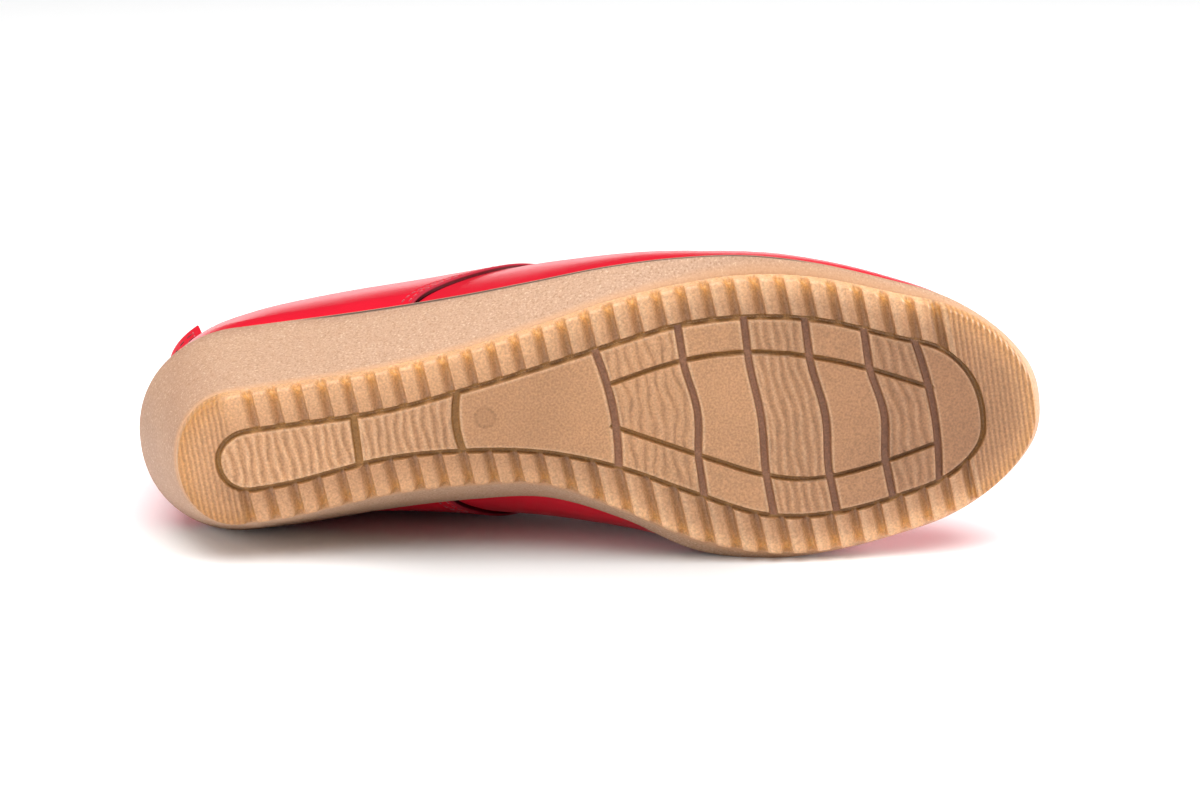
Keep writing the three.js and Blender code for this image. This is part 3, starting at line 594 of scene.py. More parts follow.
class Recipe:
    """A material in the making, with its pattern on the piece's own coordinates."""

    def __init__(self, name: str, constants: dict) -> None:
        """Starts with a shader, whose constants sit on its own sockets, and an output."""
        self.material = bpy.data.materials.new(name)
        self.material.use_nodes = True
        self.tree = self.material.node_tree
        self.tree.nodes.clear()
        self.shader = self.add("BsdfPrincipled", constants)
        self.add("OutputMaterial", {"Surface": self.shader.outputs["BSDF"]})
        self.where = self.add("TexCoord").outputs["Object"]

    def add(self, kind: str, inputs: dict | None = None, **settings: object) -> Node:
        """Adds a node with its settings, and a value or a link for each input by name or number."""
        node = self.tree.nodes.new(f"ShaderNode{kind}")
        for key, value in settings.items():
            setattr(node, key, value)
        for key, value in (inputs or {}).items():
            if isinstance(value, NodeSocket):
                self.tree.links.new(value, node.inputs[key])
            else:
                node.inputs[key].default_value = value
        return node

    def mark(self, name: str) -> NodeSocket:
        """A value kept on the mesh."""
        return self.add("Attribute", attribute_name=name).outputs["Fac"]

    def noise(self, size: float, detail: float, roughness: float = 0.5) -> NodeSocket:
        """Noise with features of a size in millimetres."""
        inputs = {"Vector": self.where, "Scale": per_mm(size), "Detail": detail, "Roughness": roughness}
        return self.add("TexNoise", inputs).outputs["Fac"]

    def blend(self, factor: NodeSocket, under: NodeSocket | str, over: NodeSocket | str) -> NodeSocket:
        """One colour, made or given as a hex value, laid over another."""
        under, over = (colour(shown) if isinstance(shown, str) else shown for shown in (under, over))
        inputs = {MIX_FACTOR: factor, MIX_A: under, MIX_B: over}
        return self.add("Mix", inputs, data_type="RGBA").outputs[MIX_RESULT]

    def ranged(
        self,
        value: NodeSocket,
        low: float,
        high: float,
        first: float = 0.0,
        last: float = 1.0,
        **settings: str,
    ) -> NodeSocket:
        """A value's range turned into another one."""
        inputs = {"Value": value, "From Min": low, "From Max": high, "To Min": first, "To Max": last}
        return self.add("MapRange", inputs, **settings).outputs["Result"]

    def compute(self, operation: str, *values: NodeSocket | float) -> NodeSocket:
        """A sum, a product or a function of values."""
        return self.add("Math", dict(enumerate(values)), operation=operation).outputs[0]

    def times(self, shown: NodeSocket, by: NodeSocket | tuple[float, ...]) -> NodeSocket:
        """A colour times another one or times a value."""
        return self.add("VectorMath", {0: shown, 1: by}, operation="MULTIPLY").outputs["Vector"]

    def bump(self, height: NodeSocket, strength: float, distance: float, **more: NodeSocket) -> NodeSocket:
        """Fine relief, up to a distance in metres and below the face where that is negative."""
        inputs = {"Height": height, "Strength": strength, "Distance": abs(distance), **more}
        return self.add("Bump", inputs, invert=distance < 0.0).outputs["Normal"]

    def finish(self, links: dict[str, NodeSocket]) -> Material:
        """Links what was made to the shader, and gives the material."""
        for name, socket in links.items():
            self.tree.links.new(socket, self.shader.inputs[name])
        return self.material


def tread_gum(place: ShoePlace, slant: float, pitch: float) -> Material:
    """Natural gum rubber, press moulded: amber, a little see-through at thin edges, darker in the grooves.

    The caps' fine ribs run on as waves in the material, at a slant and a pitch in the shoe's frame. Painted
    shade darkens the rib valleys, the ripple troughs, the fine ribs, the toe, the shank and the rim's lower
    side, and painted highlights lighten ripple crests, rib walls and the grooves' lips.
    """
    recipe = Recipe("moulded_gum_rubber", {
        "Roughness": 0.48, "IOR": 1.52, "Subsurface Weight": 0.2, "Subsurface Scale": 0.0012,
        "Subsurface Radius": (1.0, 0.5, 0.22), "Specular IOR Level": 0.4,
    })
    run = place.direction(np.array([1.0, -slant, 0.0])) * TURN / (pitch * MM)
    along = recipe.add("VectorMath", {0: recipe.where, 1: tuple(run)}, operation="DOT_PRODUCT")
    turn = recipe.compute("ADD", along.outputs["Value"], -float(place.origin @ run))
    wave = recipe.compute("COSINE", turn)
    lines = recipe.compute("MULTIPLY", recipe.ranged(wave, 1.0, -1.0), recipe.mark("fine"))
    grain, cloud = recipe.noise(0.65, 2.0), recipe.noise(20.0, 3.0)
    # Painted shade in the rib valleys, turning amber towards the tread's edge.
    valley = recipe.blend(recipe.mark("amber"), GUM["valley"], GUM["amber"])
    base = recipe.blend(recipe.mark("rim"), GUM["pad"], GUM["rim"])
    base = recipe.blend(recipe.mark("honey"), base, GUM["honey"])
    base = recipe.blend(recipe.mark("valley"), base, valley)
    # Painted shade in the ripples' troughs and in the troughs of the caps' fine ribs.
    base = recipe.blend(recipe.mark("trough"), base, GUM["trough"])
    base = recipe.blend(lines, base, GUM["trough"])
    # The first of these is a painted highlight; the grooves keep their own colours.
    for name in ("painted_highlight", "groove", "cross"):
        base = recipe.blend(recipe.mark(name), base, GUM[name])
    # Painted shade: darker towards the toe, in the shank and on the rim's lower, medial side.
    base = recipe.blend(recipe.mark("painted_shade"), base, recipe.times(base, colour(GUM["painted_shade"])[:3]))
    base = recipe.times(base, recipe.ranged(grain, 0.3, 0.7, 0.78, 1.22))
    base = recipe.times(base, recipe.ranged(cloud, 0.3, 0.7, 0.93, 1.07))
    ribbed = recipe.bump(lines, 1.0, -0.0002, Normal=recipe.bump(grain, 0.5, 0.00015))
    return recipe.finish({"Base Color": base, "Normal": ribbed})


def wedge_crepe() -> Material:
    """Expanded rubber with a pebbled skin: pale, speckled, painted grey shade at the feather edge and behind
    the heel.
    """
    recipe = Recipe("pebbled_wedge_rubber", {
        "Roughness": 0.6, "IOR": 1.5, "Subsurface Weight": 0.15, "Subsurface Scale": 0.001,
        "Subsurface Radius": (1.0, 0.55, 0.3), "Specular IOR Level": 0.3,
    })
    grit, cloud = recipe.noise(0.62, 2.5, 0.6), recipe.noise(14.0, 3.0)
    # Grey patches where the mark is set: painted shade, broken up by a cloud.
    patch = recipe.compute("MULTIPLY", recipe.mark("dull"), cloud)
    base = recipe.blend(recipe.ranged(patch, 0.05, 0.6, 0.0, 0.85), CREPE["body"], CREPE["grey"])
    base = recipe.blend(recipe.ranged(grit, 0.5, 0.32, 0.0, 0.8), base, CREPE["speck"])
    base = recipe.blend(recipe.ranged(grit, 0.58, 0.74, 0.0, 0.8), base, CREPE["light"])
    # The warm tint is the tread's own colour; the line is a painted shadow under the upper.
    for name in ("warm", "line"):
        base = recipe.blend(recipe.mark(name), base, CREPE[name])
    return recipe.finish({"Base Color": base, "Normal": recipe.bump(grit, 0.45, 0.0002)})


def leather(
    name: str,
    base: str,
    deep: str,
    roughness: float,
    coat: tuple[float, float],
    pore_mm: float,
    relief: float,
) -> Material:
    """Leather with a finished grain: fine pores under a coat, which has a weight and a roughness."""
    recipe = Recipe(name, {"Roughness": roughness, "IOR": 1.5, "Coat IOR": 1.4, "Coat Roughness": coat[1]})
    pores = recipe.add("TexVoronoi", {"Vector": recipe.where, "Scale": per_mm(pore_mm)}, feature="F1")
    tone = recipe.ranged(recipe.noise(18.0, 4.0), 0.35, 0.75, 0.0, 0.45)
    shown = recipe.blend(tone, base, deep)
    # The quarter's fold and the painted shadow in the crease in front of it are laid without coat.
    fold_and_shadow = {part: recipe.mark(part) for part in FOLD_AND_CREASE_SHADOW}
    for part, factor in fold_and_shadow.items():
        shown = recipe.blend(factor, shown, FOLD_AND_CREASE_SHADOW[part])
    dull = recipe.compute("MAXIMUM", *fold_and_shadow.values())
    return recipe.finish({
        "Base Color": shown,
        "Coat Weight": recipe.ranged(dull, 0.0, 1.0, coat[0], 0.0),
        "Specular IOR Level": recipe.ranged(dull, 0.0, 1.0, 0.1, 0.0),
        "Normal": recipe.bump(pores.outputs["Distance"], relief, 0.00008),
    })


def thread(name: str, base: str, band: str, twist_mm: float) -> Material:
    """Spun thread or braided cotton: dull, with a twist that shows as fine bands."""
    recipe = Recipe(name, {"Roughness": 0.8, "IOR": 1.5, "Sheen Weight": 0.3})
    twist = recipe.noise(twist_mm, 2.0)
    shown = recipe.blend(twist, base, band)
    return recipe.finish({"Base Color": shown, "Normal": recipe.bump(twist, 0.5, 0.0001)})


def enamel() -> Material:
    """Stamped brass under baked enamel: smooth and glossy, with a little wear."""
    recipe = Recipe("enamelled_eyelet", {
        "Roughness": 0.28, "Metallic": 0.55, "Coat Weight": 0.4, "Coat Roughness": 0.1,
    })
    worn = recipe.ranged(recipe.noise(1.2, 4.0), 0.55, 0.75, 0.0, 0.5)
    return recipe.finish({"Base Color": recipe.blend(worn, "#8a1a22", "#b5544a")})


class Finishes:
    """Every material of the shoe, made once."""

    def __init__(self, gum: Material) -> None:
        """Takes the tread's rubber and makes the other materials."""
        self.tread = gum
        self.wedge = wedge_crepe()
        self.red = leather("glazed_red_leather", "#d21029", "#c50d24", 0.5, (0.7, 0.24), 0.7, 0.25)
        self.lining = leather("lining_leather", "#c7a584", "#a98766", 0.7, (0.0, 0.5), 1.1, 0.3)
        self.sock = leather("sock_leather", "#cdb08d", "#b3936f", 0.65, (0.0, 0.5), 1.0, 0.3)
        self.thread = thread("red_sewing_thread", "#8f0f20", "#b3182e", 0.5)
        self.dark_thread = thread("dark_sewing_thread", "#2b0a10", "#4a0d18", 0.5)
        self.cotton = thread("red_braided_cotton", "#a31226", "#7d0c1b", 0.6)
        # A dark disc across each eyelet's hole, as painted shadow inside it:
        self.throat = thread("eyelet_hole_painted_shadow", "#1a0508", "#0d0203", 1.0)
        self.enamel = enamel()


# Sub-assemblies


@dataclass
class Tread:
    """Tread plate: ribbed rim, groove round the pads, cross and long grooves, rippled and smooth pads.

    The ribs are given for each side, by the sign of the outlines' angle there, 1 on the lateral side and -1
    on the medial one: the first rib's place and how many there are. A pair such as valley_rise is where a
    soft rise or fall starts and how far it runs. Shades and lights are shares of a colour.
    """

    sole: SoleForm
    groove_depth = 1.8
    groove_wall = 0.5
    rim_groove = 1.5
    cross_groove = 2.1
    long_groove = 1.4
    shoulder = 5.0
    softness = 1.5
    side_lean = 0.16
    ribs = {1: (36.7, 29), -1: (28.7, 30)}
    rib_pitch = 6.94
    rib_depth = 2.1
    rib_side_depth = 1.4
    rib_slant = math.tan(math.radians(9.5))
    rib_middle = -0.6
    rib_half = 1.95
    rib_top = 3.75
    valley_rise = (-2.8, 2.6)
    valley_fall = (0.45, 0.6)
    arch_edge = 1.1
    arch_start = 1.6
    fine_pitch = 1.5
    fine_depth = 0.3
    fine_slant = 0.09
    # Painted shade in the fine ribs' troughs, behind and past the shank:
    fine_rib_painted_shade = (0.45, 0.55)
    fine_heel = (27.0, 3.5)
    fine_toe = (226.5, 3.0)
    cap_heel = (26.0, 6.0)
    cap_toe = (226.0, 6.0)
    shank = 100.0
    kink_at = 0.21
    plug_middle = (98.2, -6.5)
    plug_radius = 2.8
    plug_ring = (0.3, 0.4)
    plug_disc = (0.25, 0.5)
    # Painted highlights on the pads' groove lips and on the rib valleys' steep walls:
    lit_edge = 0.4
    cross_light = 0.45
    outline_light = 0.3
    lit_rib = 2.0
    lit_rib_half = 0.7
    lit_rib_share = 0.4
    lit_rib_start = (90.0, 60.0)
    # Painted shade on the rim's lower, medial side, towards the toe on rim and pads, and in the shank:
    low_side_painted_shade = 0.4
    low_side_painted_shade_end = (110.0, 40.0)
    rim_painted_shade = 0.6
    rim_painted_shade_start = (80.0, 130.0)
    rim_painted_shade_inside = (2.0, 6.0)
    pad_painted_shade_start = (130.0, 110.0)
    shank_painted_shade = 0.4
    shank_painted_shade_at = (106.0, 28.0)
    # Painted shade in the ripples' troughs and painted highlight on their crests:
    trough_painted_shade = 0.55
    ripple_painted_highlight = 0.5
    face_amber = 0.4
    face_honey = 0.3
    side_honey = 0.2
    back_inset = 3.0
    cap_step = 0.3
    flat_rows = 15
    shoulder_rows = (16, 14)
    pad_step = 0.33
    band_rows = (22, 30, 22)
    amber_join = 10.0
    long_guess = {"lateral": 0.33, "medial": 0.66}
    long_limits = (0.22, 0.8)
    long_least = 12.0
    stray_waves = ((1.0, 21.0, 17.0), (0.6, 9.0, -8.0))
    fade_mean = 0.75
    fade_waves = ((0.25, 13.0, 5.0),)
    rib_stations = (
        -3.41, -2.8, -2.35, -1.9, -1.45, -1.0, -0.55, -0.15, 0.2,
        0.45, 0.57, 0.69, 0.81, 0.93, 1.05, 1.25, 1.9, 2.65,
    )
    outline_steps = 6000
    outline_tip = 500
    long_steps = 900
    shoulder_rounds = 8
    least_width = 6.0
    band_share = 0.3
    wall_stations = (0.0, 0.3, 0.45, 0.6, 0.75, 0.9, 1.05, 1.25)
    tip_stations = (0.0, 0.02, 0.06, 0.13, 0.24, 0.4, 0.6, 0.85)
    cross = columns(
        "lateral medial bow kink",
        [
            [61.8, 62.5, 0.0, 0.0],
            [91.1, 91.4, -1.3, 0.0],
            [130.0, 134.5, 1.8, 0.0],
            [153.5, 158.0, 1.1, 0.7],
            [172.0, 177.3, 0.1, 0.46],
            [188.9, 195.3, 0.55, 0.74],
            [205.5, 211.5, 0.7, 0.84],
            [219.7, 225.1, 2.1, 0.0],
        ],
    )
    long = columns(
        "x lateral medial",
        [
            [133.6, -13.0, -0.8],
            [148.5, -16.9, 5.8],
            [162.2, -18.8, 11.8],
            [175.0, -18.6, 16.9],
            [188.6, -16.4, 19.4],
            [204.0, -11.8, 17.7],
            [224.0, -3.4, 13.1],
        ],
    )
    ripples = columns(
        "pitch depth wander slant sharp",
        [
            [2.7, 0.5, 0.32, 0.10, 1.6],
            [2.7, 0.5, 0.3, 0.03, 1.6],
            [9.0, 0.0, 0.0, 0.0, 1.0],
            [3.1, 0.45, 0.5, -0.03, 3.5],
            [9.0, 0.0, 0.0, 0.0, 1.0],
            [2.65, 0.45, 0.28, 0.02, 1.7],
            [9.0, 0.0, 0.0, 0.0, 1.0],
            [2.9, 0.45, 0.3, 0.05, 1.7],
            [9.0, 0.0, 0.0, 0.0, 1.0],
        ],
    )

    def _valley(self, away: Array) -> Array:
        """A rib valley's section: gentle on the heel side, steep on the toe side."""
        return ramp(away, *self.valley_rise) * fall(away, *self.valley_fall)

    def _side_valley(self, away: Array, height: Array) -> Array:
        """Where a valley runs out on the tread's side: its section there, which closes in a round arch."""
        reach = self.rib_half * np.sqrt(np.clip(1.0 - np.square(height / self.rib_top), 0.0, 1.0))
        arch = smoothstep((reach - np.abs(away - self.rib_middle)) / self.arch_edge)
        return mix(self._valley(away), arch, smoothstep(height / self.arch_start))

    def _wall(self, away: Array, width: float) -> Array:
        """A groove's section, from 1 in its middle to 0 outside."""
        return fall(away, (width - self.groove_wall) / 2, self.groove_wall)

    def _fine(self, x: Array, y: Array) -> Array:
        """Fine cross ribs of the heel and toe caps."""
        wave = 0.5 - 0.5 * np.cos(TURN * (x - self.fine_slant * y) / self.fine_pitch)
        return self.fine_depth * wave * self._fine_zone(x, y)

    def _fine_zone(self, x: Array, y: Array) -> Array:
        """Where the fine ribs lie: 1 behind the first and before the last rib of the rim, 0 between."""
        run = x - self.rib_slant * y
        return np.maximum(fall(run, *self.fine_heel), ramp(run, *self.fine_toe))

    def _rim_side(self, side: int) -> tuple[Array, Array, Array]:
        """Columns of one side's rim, along its ribs: angles on both outlines and distances from the ribs."""
        first, count = self.ribs[side]
        angle = np.linspace(0.0, math.pi, self.outline_steps + 1)
        ribbed = angle[self.outline_tip:-self.outline_tip]
        run = (first + self.rib_pitch * np.arange(count)[:, None] + np.array(self.rib_stations)).ravel()
        found = []
        for outline in (self.sole.tread, self.sole.pad):
            line = outline(side * ribbed)
            found.append(np.interp(run, line[:, 0] - self.rib_slant * line[:, 1], ribbed))
        edge, pad = found
        line = self.sole.tread(side * angle)
        in_heel, in_toe = angle <= edge[0], angle >= edge[-1]
        heel = spread(angle[in_heel], line[in_heel], self.cap_step)
        toe = spread(angle[in_toe], line[in_toe], self.cap_step)[1:]
        pad_heel = heel * pad[0] / edge[0]
        pad_toe = math.pi - (math.pi - toe) * (math.pi - pad[-1]) / (math.pi - edge[-1])
        away = np.tile(np.array(self.rib_stations), count)
        far = [np.full(len(cap), self.rib_pitch) for cap in (heel, toe)]
        return np.r_[heel, edge, toe], np.r_[pad_heel, pad, pad_toe], np.r_[far[0], away, far[1]]

    def _rim_columns(self) -> list[Array]:
        """Columns round the rim, the first one repeated: angles on both outlines, distances to the ribs."""
        lateral, medial = (self._rim_side(side) for side in self.ribs)
        angles = [np.r_[one, math.pi, TURN - other[::-1]] for one, other in zip(lateral[:2], medial)]
        return [*angles, np.r_[lateral[2], self.rib_pitch, medial[2][::-1]]]

    def _shoulder(self, base: tuple[float, float], flat: Array, away: Array) -> tuple[Array, Array]:
        """A row of the rounded edge between the tread's face and its side.

        The base is how far inside the edge, and how high, the row would lie on a sharp edge. The face's
        height and the distance to the rib are given for each column.
        """
        ray = np.array(base) - np.array([self.shoulder, self.sole.plate])
        length = float(np.hypot(*ray))
        far = np.full(away.shape, 3.0 * length)
        down = length * (self.sole.plate - flat) / -ray[1] if ray[1] < -1e-6 else far
        out = far
        if ray[0] < -1e-6:
            out = np.full(away.shape, length)
            for _ in range(self.shoulder_rounds):
                height = np.clip(self.sole.plate + ray[1] * out / length, 0.0, self.sole.plate)
                inside = self.side_lean * (self.sole.plate - height)
                inside = inside + self.rib_side_depth * self._side_valley(away, height)
                out = 0.5 * out + 0.5 * length * (self.shoulder - inside) / -ray[0]
        near = np.maximum(self.softness - np.abs(down - out), 0.0)
        reach = np.minimum(down, out) - np.square(near) / (4.0 * self.softness)
        return self.shoulder + ray[0] * reach / length, self.sole.plate + ray[1] * reach / length

    def build_rim(self, shop: Workshop) -> Object:
        """The rim: from the middle of the pad groove over the ribbed rim and its rounded edge up the side."""
        edge_angle, pad_angle, away = self._rim_columns()
        edge, groove = self.sole.tread(edge_angle), self.sole.pad(pad_angle)
        width = np.linalg.norm(groove - edge, axis=1)
        into = unit(groove - edge)
        run = edge[:, 0] - self.rib_slant * edge[:, 1]
        cap = np.maximum(fall(run, *self.cap_heel), ramp(run, *self.cap_toe))
        valley = self._valley(away)
        # Painted shade on the rim's lower, medial side.
        medial = smoothstep(-2.0 * np.sin(edge_angle))
        medial_painted_shade = self.low_side_painted_shade * medial * fall(edge[:, 0], *self.low_side_painted_shade_end)
        # Painted highlight along the rib valleys' steep walls.
        lit_rib = self.lit_rib_share * bell(away - self.lit_rib, self.lit_rib_half)
        lit_rib = lit_rib * ramp(edge[:, 0], *self.lit_rib_start)
        layers = Layers()

        def plan_at(inside: Array | float) -> Array:
            """Points at distances inside the edge."""
            return edge + into * np.broadcast_to(inside, width.shape)[:, None]

        def face(inside: Array | float) -> Array:
            """Height of the tread's face: rib valleys and the caps' fine ribs."""
            return np.maximum(self.rib_depth * valley, self._fine(*plan_at(inside).T))

        def lay(inside: Array | float, height: Array | float, **values: Array | float) -> None:
            """Adds a row at distances inside the edge and heights."""
            plan = plan_at(inside)
            x = plan[:, 0]
            marks = dict.fromkeys(("valley", "amber", "groove", "honey"), 0.0) | values
            # Painted shade towards the toe, away from the groove.
            rim_painted_shade = ramp(x, *self.rim_painted_shade_start) * ramp(inside, *self.rim_painted_shade_inside)
            layers.lay(
                plan, np.broadcast_to(height, width.shape) + self.sole.lift(x), **marks,
                fine=np.where(x < self.shank, *self.fine_rib_painted_shade) * self._fine_zone(*plan.T),
                painted_highlight=lit_rib,
                painted_shade=medial_painted_shade + self.rim_painted_shade * rim_painted_shade,
                rim=1.0 - smoothstep(inside / width),
            )

        # The valley mark lays painted shade into the rib valleys.
        for past_groove in self.wall_stations[:-1]:
            inside = width - past_groove
            wall = float(self._wall(np.array(past_groove), self.rim_groove))
            lay(inside, np.maximum(face(inside), self.groove_depth * wall), valley=valley, groove=wall)
        inner = width - self.wall_stations[-1]
        for share in np.linspace(0.0, 1.0, self.flat_rows)[:-1]:
            inside = mix(inner, self.shoulder, share)
            honey = self.face_honey * share * cap
            lay(inside, face(inside), valley=valley, amber=self.face_amber * share, honey=honey)
        across, upward = self.shoulder_rows
        for share in np.linspace(0.0, 1.0, across):
            inside = self.shoulder * (1.0 - share)
            inside, height = self._shoulder((inside, 0.0), face(inside), away)
            amber, honey = mix(self.face_amber, 1.0, share), mix(self.face_honey, 1.0, share) * cap
            lay(inside, height, valley=valley, amber=amber, honey=honey)
        flat = face(0.0)
        for share in np.linspace(0.0, 1.0, upward)[1:]:
            inside, height = self._shoulder((0.0, self.sole.plate * share), flat, away)
            notch = self._side_valley(away, height)
            lay(inside, height, valley=notch, amber=1.0, honey=mix(1.0, self.side_honey, share) * cap)
        lay(self.back_inset, self.sole.plate)
        lay(width, self.sole.plate)
        layers.close()
        return layers.build(shop, "tread_rim")

    def _pad_columns(self) -> dict[str, Array]:
        """Columns of the pads: x on both sides, bow, kink, zone, place in it, distance to a cross groove."""
        names = ("lateral", "medial", "bow", "kink")
        ends = self.sole.pad_ends
        tips = ((ends.back, ends.front), (ends.back, ends.front), (0.0, 0.0), (0.0, 0.0))
        knots = np.array([np.r_[start, self.cross[name], end] for name, (start, end) in zip(names, tips)])
        found: list[Array] = []
        last = knots.shape[1] - 2
        for zone in range(last + 1):
            low, high = knots[:, zone, None], knots[:, zone + 1, None]
            length = float((high - low)[:2].mean())
            start = np.array(self.wall_stations if zone else self.tip_stations)
            end = length - np.array(self.wall_stations if zone < last else self.tip_stations)[::-1]
            steps = int((end[0] - start[-1]) / self.pad_step)
            place = np.r_[start[:-1], np.linspace(start[-1], end[0], steps), end[1:-1]]
            place = np.r_[place, length] if zone == last else place
            away = np.minimum(place if zone else length, length - place if zone < last else length)
            own = [np.full(place.shape, zone), place, np.broadcast_to(away, place.shape)]
            found.append(np.concatenate([mix(low, high, place / length), own]))
        return dict(zip((*names, "zone", "place", "away"), np.concatenate(found, 1)))

    def _pad_rows(self, width: Array, shares: tuple[Array, Array]) -> Array:
        """Places of the pads' rows across each column, from 0 to 1, close together at the grooves' walls.

        The shares are the places of the lateral and the medial long groove across each column.
        """
        knots = [np.zeros_like(width), *shares, np.ones_like(width)]
        near = np.array(self.wall_stations)[:, None] / np.maximum(width, self.least_width)
        rows = []
        for band, count in enumerate(self.band_rows):
            low, high = knots[band], knots[band + 1]
            reach = np.minimum(near, self.band_share * (high - low) * near / near[-1:])
            inner = np.linspace(0.0, 1.0, count)[1:-1, None]
            rows += [low + reach, mix(low + reach[-1], high - reach[-1], inner), high - reach[:0:-1]]
        return np.concatenate([*rows, knots[-1][None]])

    def build_pads(self, shop: Workshop) -> Object:
        """The pads inside the rim, down to the middle of the groove round them."""
        column = self._pad_columns()
        lateral = self.sole.pad(self.sole.pad_angle(column["lateral"]))
        medial = self.sole.pad(TURN - self.sole.pad_angle(column["medial"]))
        width = np.linalg.norm(medial - lateral, axis=1)

        def plan_at(share: Array) -> Array:
            """Points across the columns, which bow with the cross grooves."""
            plan = mix(lateral, medial, share[..., None])
            plan[..., 0] += 4.0 * column["bow"] * share * (1.0 - share) + column["kink"] * self._kinked(share)
            return plan

        shares = []
        run = np.maximum(medial[:, 1] - lateral[:, 1], 1.0)
        for name, guess in self.long_guess.items():
            share = np.full(len(width), guess)
            for _ in range(4):
                y = smooth_through(self.long["x"], self.long[name], plan_at(share)[:, 0])
                share = np.clip((y - lateral[:, 1]) / run, *self.long_limits)
            shares.append(np.where(width > self.long_least, share, guess))
        across = self._pad_rows(width, (shares[0], np.maximum(shares[1], shares[0] + 0.1)))
        plan = plan_at(across)
        cross = np.broadcast_to(self._wall(column["away"], self.cross_groove), across.shape)
        rim_away = self._distance(plan, self._outline_lines())
        long_away = self._distance(plan, self._long_lines())
        groove = np.maximum(self._wall(rim_away, self.rim_groove), self._wall(long_away, self.long_groove))
        zone = column["zone"].astype(int)
        pitch, deep, wander, slant, sharp = (values[zone] for values in self.ripples.values())
        x, y = plan[..., 0], plan[..., 1]
        run = column["place"] - slant * y + wander * waves(plan, self.stray_waves)
        wave = 0.5 - 0.5 * np.cos(TURN * run / pitch)
        fade = (deep > 0.0) * (self.fade_mean + waves(plan, self.fade_waves))
        relief = np.maximum(self.groove_depth * np.maximum(cross, groove), deep * np.power(wave, sharp))
        top = np.concatenate([plan, relief[..., None]], -1)
        back = np.concatenate([plan[[-1, 0]], np.full((2, len(width), 1), self.sole.plate)], -1)
        points = np.concatenate([top, back, top[:1]])
        points[..., 2] += self.sole.lift(points[..., 0])
        # Painted highlights on the lips of the grooves and on the ripples' crests.
        lips = (
            (self.cross_light, column["away"], self.cross_groove),
            (self.outline_light, rim_away, self.rim_groove),
        )
        lit = [light * bell(away - wide / 2 - self.lit_edge, self.lit_edge) for light, away, wide in lips]
        early = x < self.cross["lateral"][1] + self.amber_join
        painted_highlight = self.ripple_painted_highlight * np.power(1.0 - wave, 2.0 + sharp) * fade / sharp
        shank_at, shank_reach = self.shank_painted_shade_at
        marks = {
            # Painted shade in the ripples' troughs, with the mould plug's darker ring and disc.
            "trough": np.maximum(self.trough_painted_shade * np.power(wave, sharp) * fade, self._mould_plug(plan)),
            "painted_highlight": np.maximum(painted_highlight, np.maximum(*lit)),
            "groove": np.maximum(groove, cross * early),
            "cross": cross * ~early,
            # Painted shade towards the toe and in the shank.
            "painted_shade": ramp(x, *self.pad_painted_shade_start) + self.shank_painted_shade * bell(x - shank_at, shank_reach),
        }
        none = np.zeros((3, len(width)))
        return shop.grid("tread_pads", points, {key: np.concatenate([v, none]) for key, v in marks.items()})

    def _kinked(self, share: Array) -> Array:
        """How a cross groove sways: back where it meets the long grooves, forward between them."""
        side = np.minimum(share, 1.0 - share)
        past = (side - self.kink_at) / (0.5 - self.kink_at)
        return np.where(side < self.kink_at, -side / self.kink_at, -np.cos(math.pi * past))

    def _mould_plug(self, plan: Array) -> Array:
        """The round mark that a plug of the mould leaves in the shank."""
        away = np.linalg.norm(plan - np.array(self.plug_middle), axis=-1)
        (ring, ring_half), (disc, disc_edge) = self.plug_ring, self.plug_disc
        shade = ring * bell(away - self.plug_radius, ring_half)
        return shade + disc * fall(away, self.plug_radius, disc_edge)

    def _outline_lines(self) -> Array:
        """Middle line of the groove round the pads."""
        return self.sole.pad(np.linspace(0.0, TURN, self.outline_steps))

    def _long_lines(self) -> Array:
        """Middle lines of the two long grooves, from the third to the last cross groove."""
        x = np.linspace(self.long["x"][0], self.long["x"][-1], self.long_steps)
        sides = (smooth_through(self.long["x"], self.long[name], x) for name in ("lateral", "medial"))
        return np.concatenate([np.stack([x, y], -1) for y in sides])

    def _distance(self, plan: Array, lines: Array) -> Array:
        """Distance of each point to the nearest point of some lines."""
        tree = KDTree(len(lines))
        for i, (x, y) in enumerate(lines):
            tree.insert((x, y, 0.0), i)
        tree.balance()
        return np.array([tree.find((x, y, 0.0))[2] for x, y in plan.reshape(-1, 2)]).reshape(plan.shape[:2])

    def build(self, shop: Workshop, finishes: Finishes) -> None:
        """Makes and dresses the tread."""
        rim = self.build_rim(shop)
        dress(rim, "tread_rubber", finishes.tread)
        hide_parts("outsole")
        dress(self.build_pads(shop), "tread_rubber", finishes.tread)


